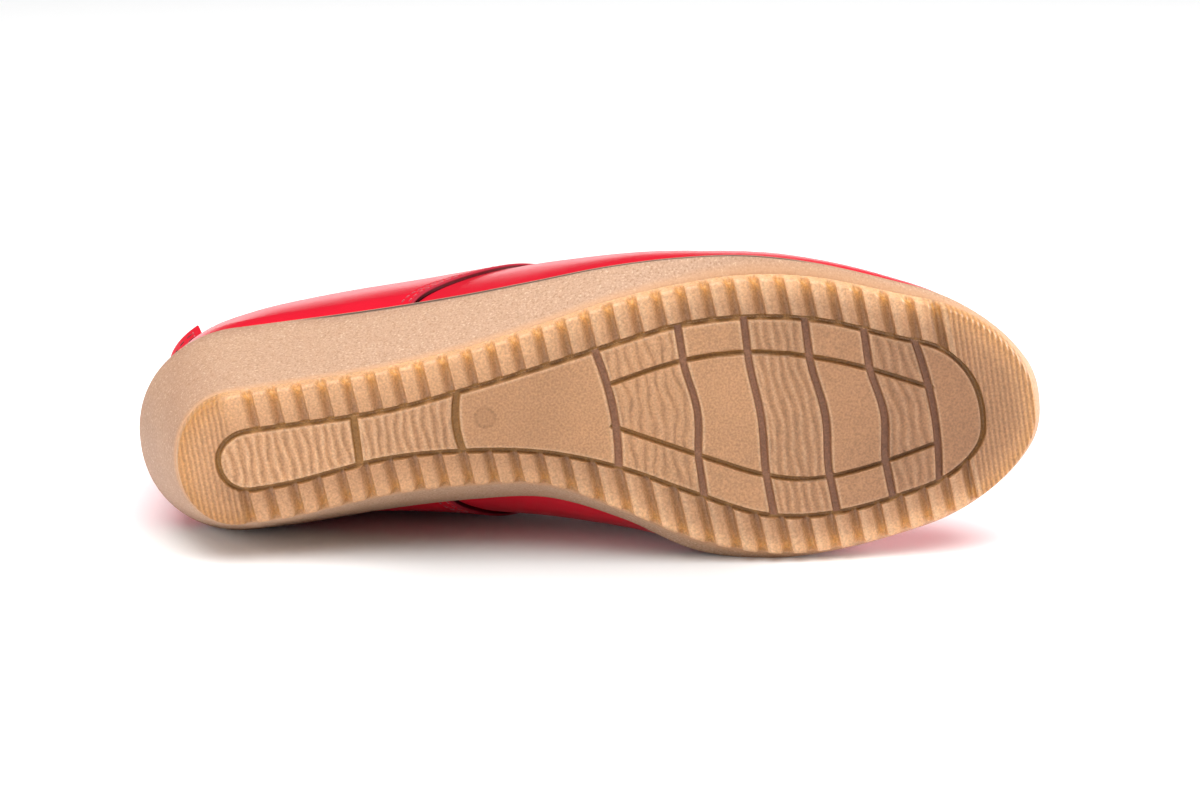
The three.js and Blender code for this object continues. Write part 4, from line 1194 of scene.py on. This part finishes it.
@dataclass
class Wedge:
    """Rubber wedge between tread and upper, its side flaring to a rounded lip."""

    sole: SoleForm
    lip_drop = 3.0
    lip_inset = 1.2
    lip_turns = (3.0, 8.0, 15.0, 30.0, 45.0, 60.0, 75.0, 90.0)
    flare_power = 0.85
    seat_inset = 9.0
    warm_height = 2.2
    warmth = 0.65
    # Painted grey shade behind the heel and at the top of the wall:
    heel_painted_shade = 0.8
    heel_painted_shade_end = (4.0, 26.0)
    wall_top_painted_shade = (0.8, 0.2)
    # Painted shadow line along the lip under the upper, on the outer side:
    shadow_line_start = (45.0, 15.0)
    shadow_line_end = (183.0, 14.0)
    shadow_line_rise = (-1.0, 0.5)
    shadow_line_fall = (0.1, 0.3)
    shadow_line_full_at = 25.0
    shadow_line_least = 0.15
    round_columns = 900
    wall_rows = 60
    wall_end = 0.97
    top_rows = (0.98, 0.987, 0.994, 1.0)

    def build(self, shop: Workshop, finishes: Finishes) -> None:
        """Makes and dresses the wedge."""
        angle = even_angles(self.sole.top, self.round_columns)
        tread, top = self.sole.tread(angle), self.sole.top(angle)
        into = inward(self.sole.top, angle)
        x = top[:, 0]
        bottom = self.sole.lift(tread[:, 0]) + self.sole.plate
        lip_start = self.sole.seat(x) - self.lip_drop
        # Painted shade behind the heel.
        heel = self.heel_painted_shade * fall(x, *self.heel_painted_shade_end)
        # Painted shadow line under the upper, narrower where the wall is low.
        wide = np.clip((lip_start - bottom) / self.shadow_line_full_at, self.shadow_line_least, 1.0)
        shown = ramp(x, *self.shadow_line_start) * fall(x, *self.shadow_line_end) * (angle < math.pi)
        layers = Layers()

        def lay(plan: Array, height: Array, grey_painted_shade: float) -> None:
            """Adds a row of points with its grey painted shade, its warm tint and its painted shadow line
            under the upper.
            """
            above = height - lip_start
            layers.lay(
                plan, height, dull=np.maximum(heel, grey_painted_shade),
                warm=self.warmth * fall(height - bottom, 0.0, self.warm_height),
                line=shown * ramp(above / wide, *self.shadow_line_rise) * fall(above, *self.shadow_line_fall),
            )

        lay(middle_line(tread), bottom, 0.0)
        for share in np.r_[np.linspace(0.0, self.wall_end, self.wall_rows), self.top_rows]:
            plan = mix(tread, top, share**self.flare_power)
            lay(plan, mix(bottom, lip_start, share), float(ramp(share, *self.wall_top_painted_shade)))
        for turn in np.radians(self.lip_turns):
            plan = top + into * self.lip_inset * (1.0 - math.cos(turn))
            lay(plan, self.sole.seat(plan[:, 0]) - self.lip_drop * (1.0 - math.sin(turn)), 1.0)
        for plan in (top + into * self.seat_inset, middle_line(top)):
            lay(plan, self.sole.seat(plan[:, 0]), 1.0)
        piece = layers.build(shop, "wedge")
        dress(piece, "wedge_rubber", finishes.wedge)
        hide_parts("wedge_midsole")


@dataclass
class Insole:
    """Sock on the wedge: a leather-faced sheet, a little dished under the heel and the ball."""

    sole: SoleForm
    inset = 5.2
    thickness = 3.0
    edge = 0.9
    edge_turns = (0.0, 30.0, 60.0, 90.0)
    dishes = ((0.7, 40.0, 30.0), (0.4, 175.0, 28.0))
    round_columns = 300
    rings = 16

    def build(self, shop: Workshop, finishes: Finishes) -> None:
        """Makes and dresses the insole."""
        angle = even_angles(self.sole.top, self.round_columns)
        into = inward(self.sole.top, angle)
        edge = self.sole.top(angle) + into * self.inset
        centre = middle_line(edge)
        face = self.sole.gap + self.thickness
        layers = Layers()

        def lay(plan: Array, height: float | Array) -> None:
            """Adds a row of points at a height over the seat."""
            layers.lay(plan, self.sole.seat(plan[:, 0]) + height)

        lay(centre, self.sole.gap)
        lay(edge, self.sole.gap)
        for turn in np.radians(self.edge_turns):
            plan = edge + into * self.edge * (1.0 - math.cos(turn))
            lay(plan, face - self.edge * (1.0 - math.sin(turn)))
        rim = edge + into * self.edge
        for share in np.linspace(0.0, 1.0, self.rings)[1:]:
            plan = mix(rim, centre, share)
            dish = sum(deep * bell(plan[:, 0] - at, reach) for deep, at, reach in self.dishes)
            lay(plan, face - dish * smoothstep(np.array(share)))
        piece = layers.build(shop, "insole_sock")
        dress(piece, "sock_leather", finishes.sock)
        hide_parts("insole")


class Sewing:
    """Rows of stitches, made as one joined piece for each thread."""

    PITCH, LENGTH, RADIUS, SIDES = 3.0, 2.3, 0.34, 6
    RINGS = ((-0.42, 0.78), (0.0, 1.0), (0.42, 0.78))

    def __init__(self) -> None:
        """Starts with no stitches."""
        self.copies: list[Array] = []
        ring = np.linspace(0.0, TURN, self.SIDES, endpoint=False)
        body = [
            [at * self.LENGTH, self.RADIUS * thick * math.cos(v), self.RADIUS * thick * math.sin(v)]
            for at, thick in self.RINGS
            for v in ring
        ]
        self.shape = np.array([[-0.5 * self.LENGTH, 0, 0], *body, [0.5 * self.LENGTH, 0, 0]])
        n, end = self.SIDES, 3 * self.SIDES + 1
        nxt = [(k + 1) % n for k in range(n)]
        self.faces = [[0, 1 + nxt[k], 1 + k] for k in range(n)]
        for low in (1, 1 + n):
            self.faces += [[low + k, low + nxt[k], low + n + nxt[k], low + n + k] for k in range(n)]
        self.faces += [[end, 1 + 2 * n + k, 1 + 2 * n + nxt[k]] for k in range(n)]

    def row(self, line: Array, normals: Array, sink: float = 0.1) -> None:
        """Lays stitches along a line on a surface with outward normals, sunk into it a little."""
        count = max(2, int(run_lengths(line)[-1] / self.PITCH))
        places = even_steps(line, 2 * count + 1)[1::2]
        before, after = np.maximum(places - 0.5, 0), np.minimum(places + 0.5, len(line) - 1)
        along, out = unit(at_places(line, after) - at_places(line, before)), unit(at_places(normals, places))
        side = unit(np.cross(out, along))
        out = np.cross(along, side)
        frame = np.stack([along, side, out], 1)
        self.copies.append(at_places(line, places)[:, None] - sink * out[:, None] + self.shape[None] @ frame)

    def build(self, shop: Workshop, name: str, material: Material) -> None:
        """Joins the stitches into one piece and dresses it."""
        dress(shop.joined(name, np.concatenate(self.copies), self.faces), "red_leather", material)


@dataclass
class Upper:
    """Hollow leather upper: vamp, quarters that lie over it with a folded edge, lining, and creases."""

    last: Last
    fold = 0.9
    fold_shade = 0.8
    fold_rise = (0.0, 0.2)
    fold_fall = (0.7, 0.5)
    crease_depth = 0.3
    crease_half = 0.8
    # Where the painted shadow in the crease in front of the quarter's edge starts on the vamp, and where it
    # fades:
    crease_shadow_reach = 0.5
    crease_shadow_fall = (0.08, 0.2)
    stitch_rows = (1.9, 4.1)
    stitch_trough = 0.16
    stitch_half = 0.5
    topline_stitch = 2.6
    strap_gaps = (0.8, 0.5)
    seam_gap = 0.25
    seam_levels = (0.035, 0.965, 160)
    topline_steps = 300
    ridges = ((0.55, 1.7), (0.4, -1.8))
    vamp_start = 6.0
    vamp_height = (20.0, 14.0)
    soft_depth = 0.22
    soft_ends = (0.25, 0.15)
    crowding = 9.0
    crowd_reach = 0.12
    tuck = 1.1
    tuck_height = 1.8
    rim_rise = 1.1
    rim_turns = (20.0, 45.0, 70.0, 90.0, 110.0, 135.0, 160.0)
    round_columns = 500
    outer_rows = 92
    inner_rows = 34
    flex = columns(
        "x slant depth width middle reach",
        [
            [168.0, 0.10, 0.55, 2.6, -8.0, 26.0],
            [176.5, -0.06, 0.7, 3.0, 6.0, 30.0],
            [186.0, 0.05, 0.45, 2.8, 14.0, 24.0],
        ],
    )

    def _columns(self) -> Array:
        """Columns round the shoe, close together at the quarters' edges."""
        seam = self.last.seam_column
        place = np.linspace(0.0, self.last.count, 4801)
        edges = (seam, self.last.count - seam)
        crowd = 1.0 + self.crowding * sum(bell(place - at, self.crowd_reach) for at in edges)
        total = np.r_[0.0, np.cumsum((crowd[1:] + crowd[:-1]) / 2.0)]
        return np.interp(np.linspace(0.0, total[-1], self.round_columns + 1), total, place)

    def _on_last(self, column: Array, level: Array) -> Array:
        """Points of the last under the wall's columns."""
        return self.last.point(self.last.column_place(column, level), level)

    def behind_edge(self, column: Array, level: Array) -> Array:
        """Millimetres behind the quarter's edge, negative on the vamp."""
        small = 0.01
        step = self._on_last(column + small, level) - self._on_last(column - small, level)
        from_heel = np.minimum(column, self.last.count - column)
        return (self.last.seam_column - from_heel) * np.linalg.norm(step, axis=-1) / (2 * small)

    def relief(self, back: Array, level: Array, base: Array) -> Array:
        """Lift of the leather's face over the last's points, by the distance behind the quarter's edge."""
        rounded = np.sqrt(np.clip(1.0 - np.square(1.0 - np.clip(back / self.fold, 0.0, 1.0)), 0.0, 1.0))
        lift = self.last.quarter_step(level) * rounded
        lift = lift - self.crease_depth * bell(np.minimum(back, 0.0), self.crease_half) * (back < 0.0)
        for row in self.stitch_rows:
            lift = lift - self.stitch_trough * bell(back - row, self.stitch_half)
        x, y, z = base[..., 0], base[..., 1], base[..., 2]
        vamp = smoothstep(-back / self.vamp_start) * ramp(z, *self.vamp_height)
        for at, slant, depth, width, middle, reach in zip(*self.flex.values()):
            away = (x - at - slant * (y - middle)) / width
            trough = bell(away, 1.0)
            for high, ridge in self.ridges:
                trough = trough - high * bell(away - ridge, 1.0)
            lift = lift - depth * trough * vamp * bell(y - middle, reach)
        soft = np.sin(x / 19.0 + 0.7 * np.sin(z / 21.0)) * np.sin(z / 15.0 + y / 27.0 + 0.4)
        low, high = (smoothstep(way / end) for way, end in zip((level, 1.0 - level), self.soft_ends))
        return lift - self.soft_depth * (1.0 + soft) * low * high

    def face(self, column: Array, level: Array) -> tuple[Array, Array]:
        """Points and normals of the leather's face."""
        place = self.last.column_place(column, level)
        base, normal = self.last.point(place, level), self.last.normal(place, level)
        lift = self.relief(self.behind_edge(column, level), level, base)
        return base + normal * lift[..., None], normal

    def build_wall(self, shop: Workshop) -> Object:
        """The wall: the leather's face, the folded rim and the lining, as one closed ring."""
        column = self._columns()[None]
        rise = np.linspace(0.0, 1.0, self.outer_rows)[:, None]
        level = 0.55 * rise + 0.45 * smoothstep(rise)
        face, normal = self.face(*np.broadcast_arrays(column, level))
        height = np.linalg.norm(np.diff(face, axis=0, prepend=face[:1]), axis=-1).cumsum(0)
        tucked = self.tuck * np.square(np.clip(1.0 - height / self.tuck_height, 0.0, 1.0))
        face = face - normal * tucked[..., None]
        top = np.ones_like(column)
        place = self.last.column_place(column, top)
        rim_normal = self.last.normal(place, top)[0]
        outer, inner = face[-1], self.last.offset(place, top, -self.last.wall)[0]
        up = unit(face[-1] - face[-4])
        middle, half = (outer + inner) / 2.0, np.linalg.norm(outer - inner, axis=-1)[:, None] / 2.0
        rim = [
            middle + rim_normal * half * math.cos(turn) + up * self.rim_rise * math.sin(turn)
            for turn in np.radians(self.rim_turns)
        ]
        down = np.linspace(1.0, 0.0, self.inner_rows)[:, None]
        down = np.broadcast_to(down, (self.inner_rows, column.shape[1]))
        lining = self.last.offset(self.last.column_place(column, down), down, -self.last.wall)
        points = np.concatenate([face, np.array(rim), lining, face[:1]])
        slots = (np.arange(len(points)) >= self.outer_rows + len(rim) - 2).astype(np.int32)
        back = self.behind_edge(*np.broadcast_arrays(column, level))
        # Painted shadow in the crease in front of the quarter's folded edge; the fold keeps the raw edge's
        # colour.
        high = ramp(level, 0.0, 0.25)
        edge = ramp(back, 0.15 * high - self.crease_shadow_reach, 0.2) * fall(back, *self.crease_shadow_fall)
        edge = edge * (1.0 - 0.1 * high)
        fold = self.fold_shade * ramp(back, *self.fold_rise) * fall(back, *self.fold_fall)
        none = np.zeros((len(points) - len(face), column.shape[1]))
        marks = {name: np.concatenate([values, none]) for name, values in (("edge", edge), ("fold", fold))}
        return shop.grid("leather_upper", points, marks, slots)

    def _seam_line(self, back: float, medial: bool) -> tuple[Array, Array]:
        """Points and normals of a stitch row a distance behind a quarter's edge."""
        level = np.linspace(*self.seam_levels)
        seam = np.full(level.shape, self.last.seam_column)
        step = 0.1
        width = np.linalg.norm(self._on_last(seam, level) - self._on_last(seam - step, level), axis=-1)
        column = seam - back * step / width
        return self.face(self.last.count - column if medial else column, level)

    def _topline(self, start: float, end: float, down: float) -> tuple[Array, Array]:
        """Points and normals of a stitch row a distance below the rim, between two columns."""
        column = np.linspace(start, end, self.topline_steps)
        top = np.ones_like(column)
        step = 0.1
        drop = self._on_last(column, top) - self._on_last(column, top - step)
        return self.face(column, 1.0 - step * down / np.linalg.norm(drop, axis=-1))

    def build(self, shop: Workshop, finishes: Finishes, sewing: Sewing) -> None:
        """Makes and dresses the upper and lays its stitches."""
        piece = self.build_wall(shop)
        dress(piece, "red_leather", finishes.red, finishes.lining)
        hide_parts("upper")
        for medial in (False, True):
            for back in self.stitch_rows:
                sewing.row(*self._seam_line(back, medial))
        seam, count = self.last.seam_column, self.last.count
        lateral, medial = self.strap_gaps
        for start, end in ((lateral, seam - self.seam_gap), (count - seam + self.seam_gap, count - medial)):
            sewing.row(*self._topline(start, end, self.topline_stitch))


@dataclass
class HeelStrap:
    """Back strap over the quarters, with a tab above the collar."""

    last: Last
    thickness = 0.8
    edge = 0.3
    clearance = 0.05
    foot_edges = (0.42, -0.42)
    rim_edges = (0.95, -0.6)
    flare = 0.4
    tab = 10.4
    foot = 0.03
    rows = 70
    tab_rows = 10
    across = 22
    stitch_run = (0.02, 1.75, 120)
    stitch_sides = (0.1, 0.9)
    tab_stitch_rows = (1.35, 1.65)
    tab_stitch_steps = 40

    def _surface(self, share: Array, side: Array, lift: float) -> tuple[Array, Array]:
        """Points and normals of the strap, at a lift over its underside.

        The share runs from the strap's foot (0) to the rim (1), and past 1 up the tab, and the side from its
        lateral (0) to its medial edge (1).
        """
        on_last = np.minimum(share, 1.0)
        lateral = mix(self.foot_edges[0], self.rim_edges[0], on_last)
        medial = mix(self.foot_edges[1], self.rim_edges[1], on_last)
        place, level = mix(lateral, medial, side), mix(self.foot, 1.0, on_last)
        height = self.last.quarter_step(level) + self.clearance + lift
        base, normal = self.last.offset(place, level, height), self.last.normal(place, level)
        below = self.last.offset(place, level - 0.05, height)
        rise = unit(base - below) + self.flare * normal
        return base + unit(rise) * (self.tab * np.maximum(share - 1.0, 0.0))[..., None], normal

    def build(self, shop: Workshop, finishes: Finishes, sewing: Sewing, tab_sewing: Sewing) -> None:
        """Makes and dresses the strap, lays its stitches and the dark rows across its tab."""
        tab_share = 1.0 + np.linspace(0.0, 1.0, self.tab_rows)[1:]
        share = np.r_[np.linspace(0.0, 1.0, self.rows), tab_share][:, None]
        share, side = np.broadcast_arrays(share, np.linspace(0.0, 1.0, self.across)[None])
        sheet, _ = self._surface(share, side, self.thickness / 2)
        piece = shop.sheet("back_strap", sheet, self.thickness, self.edge)
        dress(piece, "red_leather", finishes.red)
        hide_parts("heel_strap")
        up = np.linspace(*self.stitch_run)
        for at in self.stitch_sides:
            sewing.row(*self._surface(up, np.full(up.shape, at), self.thickness))
        over = np.linspace(*self.stitch_sides, self.tab_stitch_steps)
        for high in self.tab_stitch_rows:
            tab_sewing.row(*self._surface(np.full(over.shape, high), over, self.thickness))


@dataclass
class Tongue:
    """Leather tongue under the throat, from behind the vamp to above the facings."""

    last: Last
    thickness = 2.2
    edge = 0.8
    clearance = (0.9, 2.4)
    rows_at = (9.0, 6.4)
    half = (0.86, 0.66)
    tuck = 11.0
    rise = 18.0
    corner = 4.0
    corner_power = 6.0
    rows = 26
    tuck_rows = 6
    rise_rows = 10
    across = 30

    def build(self, shop: Workshop, finishes: Finishes, sewing: Sewing) -> None:
        """Makes and dresses the tongue and lays its stitches."""
        side = np.linspace(-1.0, 1.0, self.across)
        grid = []
        for share in np.linspace(0.0, 1.0, self.rows):
            row, half = mix(*self.rows_at, share), mix(*self.half, share)
            depth = -self.last.wall - mix(*self.clearance, share) - self.thickness / 2
            grid.append(self.last.bridge(np.full(side.shape, row), side * half, depth))
        low, high = np.array(grid[0]), np.array(grid[-1])
        down = unit(low - grid[3])
        up = unit(high - grid[-4])
        tucked = [low + down * self.tuck * share for share in np.linspace(1.0, 0.0, self.tuck_rows)[:-1]]
        reach = self.rise - self.corner * np.power(np.abs(side), self.corner_power)[:, None]
        risen = [high + up * reach * share for share in np.linspace(0.0, 1.0, self.rise_rows)[1:]]
        sheet = np.array([*tucked, *grid, *risen])
        piece = shop.sheet("tongue_leather", sheet, self.thickness, self.edge)
        dress(piece, "red_leather", finishes.red)
        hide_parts("tongue")
        normal = unit(np.cross(np.gradient(sheet, axis=1), np.gradient(sheet, axis=0)))
        normal = normal * np.sign(normal[len(sheet) // 2, self.across // 2, 2])
        face = sheet + normal * self.thickness / 2
        hem = [(r, 2) for r in range(8, len(sheet) - 2)]
        hem += [(len(sheet) - 3, c) for c in range(3, self.across - 3)]
        hem += [(r, self.across - 3) for r in range(len(sheet) - 3, 7, -1)]
        sewing.row(*(np.array([values[r, c] for r, c in hem]) for values in (face, normal)))


@dataclass
class Lacing:
    """Eyelets in the facings and the lace through them."""

    last: Last
    per_side = 5
    rows_at = (8.45, 6.3)
    level = 0.925
    outer = 4.2
    inner = 2.2
    thickness = 1.1
    lace_radius = 1.5
    reach = 0.42
    clearance = 0.6
    crossing = 1.3
    strands = 8
    braid_pitch = 2.2
    braid_relief = 0.07
    # Height of the dark disc across the hole, which is painted shadow:
    hole_shadow_height = 0.1
    roll_foot = 0.25
    roll_steps = 9
    ring_steps = 41
    path_at = (0.43, 0.425, 0.40, 0.34, 0.24, 0.12)
    path_rise = (-0.5, 1.6, 3.4)
    path_over = (0.0, 0.0, 0.0, 0.0, 0.5, 0.9)
    path_steps = 120

    def row(self, index: int) -> float:
        """Rib at which an eyelet stands."""
        return mix(*self.rows_at, index / (self.per_side - 1))

    def build_eyelet(self, shop: Workshop, name: str, place: float) -> Object:
        """A rolled ring set on the facing, with a dark disc across its hole as painted shadow."""
        level = np.array(self.level)
        normal = self.last.normal(np.array(place), level)
        seat = self.last.step + self.last.sole.gap
        base = self.last.point(np.array(place), level) + normal * seat
        across = unit(np.cross(normal, np.array([0.0, 0.0, 1.0])))
        upright = np.cross(normal, across)
        middle, half = (self.outer + self.inner) / 2, (self.outer - self.inner) / 2
        low, foot = self.hole_shadow_height, self.roll_foot
        profile = [(0.0, low), (0.9 * self.inner, low), (self.inner, 1.5 * low)]
        for turn in np.linspace(math.pi, 0.0, self.roll_steps):
            profile.append((middle + half * math.cos(turn), mix(foot, self.thickness, math.sin(turn))))
        profile += [(self.outer, 0.0), (0.0, 0.0)]
        ring = np.linspace(0.0, TURN, self.ring_steps)[:, None]
        round_hole = np.cos(ring) * across + np.sin(ring) * upright
        points = np.array([base + radius * round_hole + normal * z for radius, z in profile])
        # The first two rings make the dark disc across the hole: painted shadow inside it.
        slots = (np.arange(len(profile)) < 2).astype(np.int32)
        return shop.grid(name, points, slots=slots)

    def _run(self, start: float, end: float, over: float) -> Array:
        """Middle line of a run of lace from a lateral to a medial row."""
        seat = self.last.step + self.last.sole.gap + self.thickness
        full = seat + self.clearance + self.lace_radius
        at = np.array(self.path_at)
        lift = np.array([*self.path_rise, full, full, full]) + np.array(self.path_over) * over
        across = np.r_[-at, 0.0, at[::-1]]
        lifts = np.r_[lift, full + over, lift[::-1]]
        share = (across + self.reach) / (2 * self.reach)
        knots = np.array([
            self.last.bridge(np.array([mix(start, end, s)]), np.array([a]), h)[0]
            for a, s, h in zip(across, share, lifts)
        ])
        length = run_lengths(knots)
        fine = np.linspace(0.0, length[-1], self.path_steps)
        return np.stack([smooth_through(length, knots[:, k], fine) for k in range(3)], -1)

    def _cord(self, line: Array) -> Array:
        """Braided tube along a line, with its ends drawn to a point."""
        along = unit(np.gradient(line, axis=0))
        side = unit(np.cross(along, np.array([0.3, 0.1, 1.0])))
        out = np.cross(along, side)
        run = self.braid_pitch * run_lengths(line)[:, None]
        turn = np.linspace(0.0, TURN, 2 * self.strands + 1)[None]
        braid = np.cos(self.strands / 2 * turn + run) * np.cos(self.strands / 2 * turn - run)
        radius = self.lace_radius * (1.0 - self.braid_relief * (1.0 - braid))
        ring = np.cos(turn)[..., None] * side[:, None] + np.sin(turn)[..., None] * out[:, None]
        tube = line[:, None] + radius[..., None] * ring
        ends = [np.repeat(line[k:k + 1, None], turn.shape[1], 1) for k in (0, len(line) - 1)]
        return np.concatenate([ends[0], tube, ends[1]])

    def build(self, shop: Workshop, finishes: Finishes) -> None:
        """Makes and dresses eyelets and lace."""
        for side in ("lateral", "medial"):
            for index in range(self.per_side):
                row = self.row(index)
                place = row if side == "lateral" else self.last.count - row
                piece = self.build_eyelet(shop, f"ring_{side}_{index + 1}", place)
                dress(piece, "eyelet_metal", finishes.enamel, finishes.throat)
                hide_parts(f"eyelet_{side}_{index + 1}")
        lines = [self._run(self.row(0), self.row(0), 0.0)]
        for index in range(self.per_side - 1):
            lines.append(self._run(self.row(index), self.row(index + 1), self.crossing))
            lines.append(self._run(self.row(index + 1), self.row(index), -self.crossing))
        pieces = [shop.grid(f"lace_run_{k + 1}", self._cord(line)) for k, line in enumerate(lines)]
        bpy.ops.object.select_all(action="DESELECT")
        for piece in pieces:
            piece.select_set(True)
        bpy.context.view_layer.objects.active = pieces[0]
        bpy.ops.object.join()
        lace = bpy.context.object
        lace.name = lace.data.name = "braided_lace"
        dress(lace, "lace_cotton", finishes.cotton)
        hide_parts("lace")


# Studio


@dataclass
class Studio:
    """Pale floor, soft light, and the camera at the photograph's angle to the shoe.

    The paper grows white along an axis between two places, in metres: far behind the shoe, and beside the
    heel and the toe, where the whitening is painted light that lifts the shoe's cast shadow. Each light has
    its place, its width and height, all in metres, and its power in watts.
    """

    place: ShoePlace
    tilt_deg = 15.0
    turn_deg = -3.0
    roll_deg = 4.0
    distance = 1083.5
    target = (130.51, -8.865, 0.0)
    focal_px = 3891.0
    frame_px = 1200.0
    sensor_mm = 36.0
    floor_m = 8.0
    sky = 0.05
    aim_at = (0.0, 0.0, 0.04)
    # White far behind the shoe, and beside the heel and the toe as painted light that lifts its cast shadow:
    white_paper_and_painted_light = (("Y", 0.1, 0.6), ("X", -0.04, -0.1), ("X", 0.03, 0.08))
    lights = (
        ("over", (0.0, -0.45, 1.8), (2.5, 2.5), 72.0),
        ("front_high", (0.0, -1.2, 1.3), (1.6, 1.0), 5.8),
        ("heel_side", (-0.75, -0.6, 0.35), (0.5, 0.5), 3.6),
        ("behind_low", (0.0, 2.2, 0.12), (3.0, 0.2), 4.5),
        ("toe_side", (1.0, 0.2, 0.25), (0.6, 0.5), 12.0),
    )

    def camera(self) -> None:
        """Sets the camera."""
        tilt, turn, roll = (math.radians(v) for v in (self.tilt_deg, self.turn_deg, self.roll_deg))
        back = np.array([math.sin(turn), -math.sin(tilt) * math.cos(turn), -math.cos(tilt) * math.cos(turn)])
        up = unit(np.array([0.0, -1.0, 0.0]) + back * back[1])
        right = np.cross(up, back)
        rolled_right = math.cos(roll) * right - math.sin(roll) * up
        rolled_up = math.sin(roll) * right + math.cos(roll) * up
        axes = [Vector(self.place.direction(v)) for v in (rolled_right, rolled_up, back)]
        where = self.place.points(np.array(self.target) + back * self.distance)
        bpy.ops.object.camera_add(location=where)
        camera = bpy.context.object
        camera.rotation_euler = Matrix(axes).transposed().to_euler()
        camera.data.sensor_width = self.sensor_mm
        camera.data.lens = self.focal_px / self.frame_px * self.sensor_mm
        camera.data.clip_start, camera.data.clip_end = 0.05, 50.0
        bpy.context.scene.camera = camera

    def light(self, name: str, where: tuple[float, ...], size: tuple[float, float], power: float) -> None:
        """Adds a soft rectangular light that points at the shoe."""
        aim = Vector(self.aim_at) - Vector(where)
        bpy.ops.object.light_add(type="AREA", location=where)
        lamp = bpy.context.object
        lamp.name = name
        lamp.rotation_euler = aim.to_track_quat("-Z", "Y").to_euler()
        lamp.data.shape = "RECTANGLE"
        lamp.data.size, lamp.data.size_y = size
        lamp.data.energy = power

    def paper(self) -> Material:
        """White paper, grey near the shoe as painted shade, whitened beside heel and toe as painted light."""
        recipe = Recipe("white_paper_sweep", {"Roughness": 0.9, "Specular IOR Level": 0.1})
        across = recipe.add("SeparateXYZ", {0: recipe.where}).outputs
        white, *more = (
            recipe.ranged(across[axis], start, end, interpolation_type="SMOOTHSTEP")
            for axis, start, end in self.white_paper_and_painted_light
        )
        for part in more:
            white = recipe.compute("MAXIMUM", white, part)
        # Grey near the shoe: painted shade that darkens its contact shadow.
        near = recipe.blend(recipe.noise(60.0, 2.0), "#d6d6d6", "#d2d2d2")
        return recipe.finish({"Base Color": recipe.blend(white, near, "#fdfdfd")})

    def build(self) -> None:
        """Makes floor, lights, background and camera."""
        bpy.ops.mesh.primitive_plane_add(size=self.floor_m)
        floor = bpy.context.object
        floor.name = "floor"
        floor.data.materials.append(self.paper())
        world = bpy.data.worlds.new("studio")
        world.use_nodes = True
        background = world.node_tree.nodes["Background"]
        background.inputs["Color"].default_value = (1.0, 1.0, 1.0, 1.0)
        background.inputs["Strength"].default_value = self.sky
        bpy.context.scene.world = world
        bpy.context.scene.view_settings.view_transform = "Standard"
        for light in self.lights:
            self.light(*light)
        self.camera()


def build_shoe(place: ShoePlace) -> None:
    """Makes the shoe's sub-assemblies."""
    sole = SoleForm()
    last, tread = Last(sole), Tread(sole)
    shop, sewing, tab_sewing = Workshop(place), Sewing(), Sewing()
    finishes = Finishes(tread_gum(place, tread.fine_slant, tread.fine_pitch))
    for part in (tread, Wedge(sole), Insole(sole)):
        part.build(shop, finishes)
    Upper(last).build(shop, finishes, sewing)
    HeelStrap(last).build(shop, finishes, sewing, tab_sewing)
    Tongue(last).build(shop, finishes, sewing)
    sewing.build(shop, "stitches", finishes.thread)
    tab_sewing.build(shop, "tab_stitches", finishes.dark_thread)
    Lacing(last).build(shop, finishes)


def main() -> None:
    """Builds the shoe and its studio."""
    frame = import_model()
    place = ShoePlace(frame["record"]["mounts"])
    Studio(place).build()
    build_shoe(place)


if __name__ == "__main__":
    main()
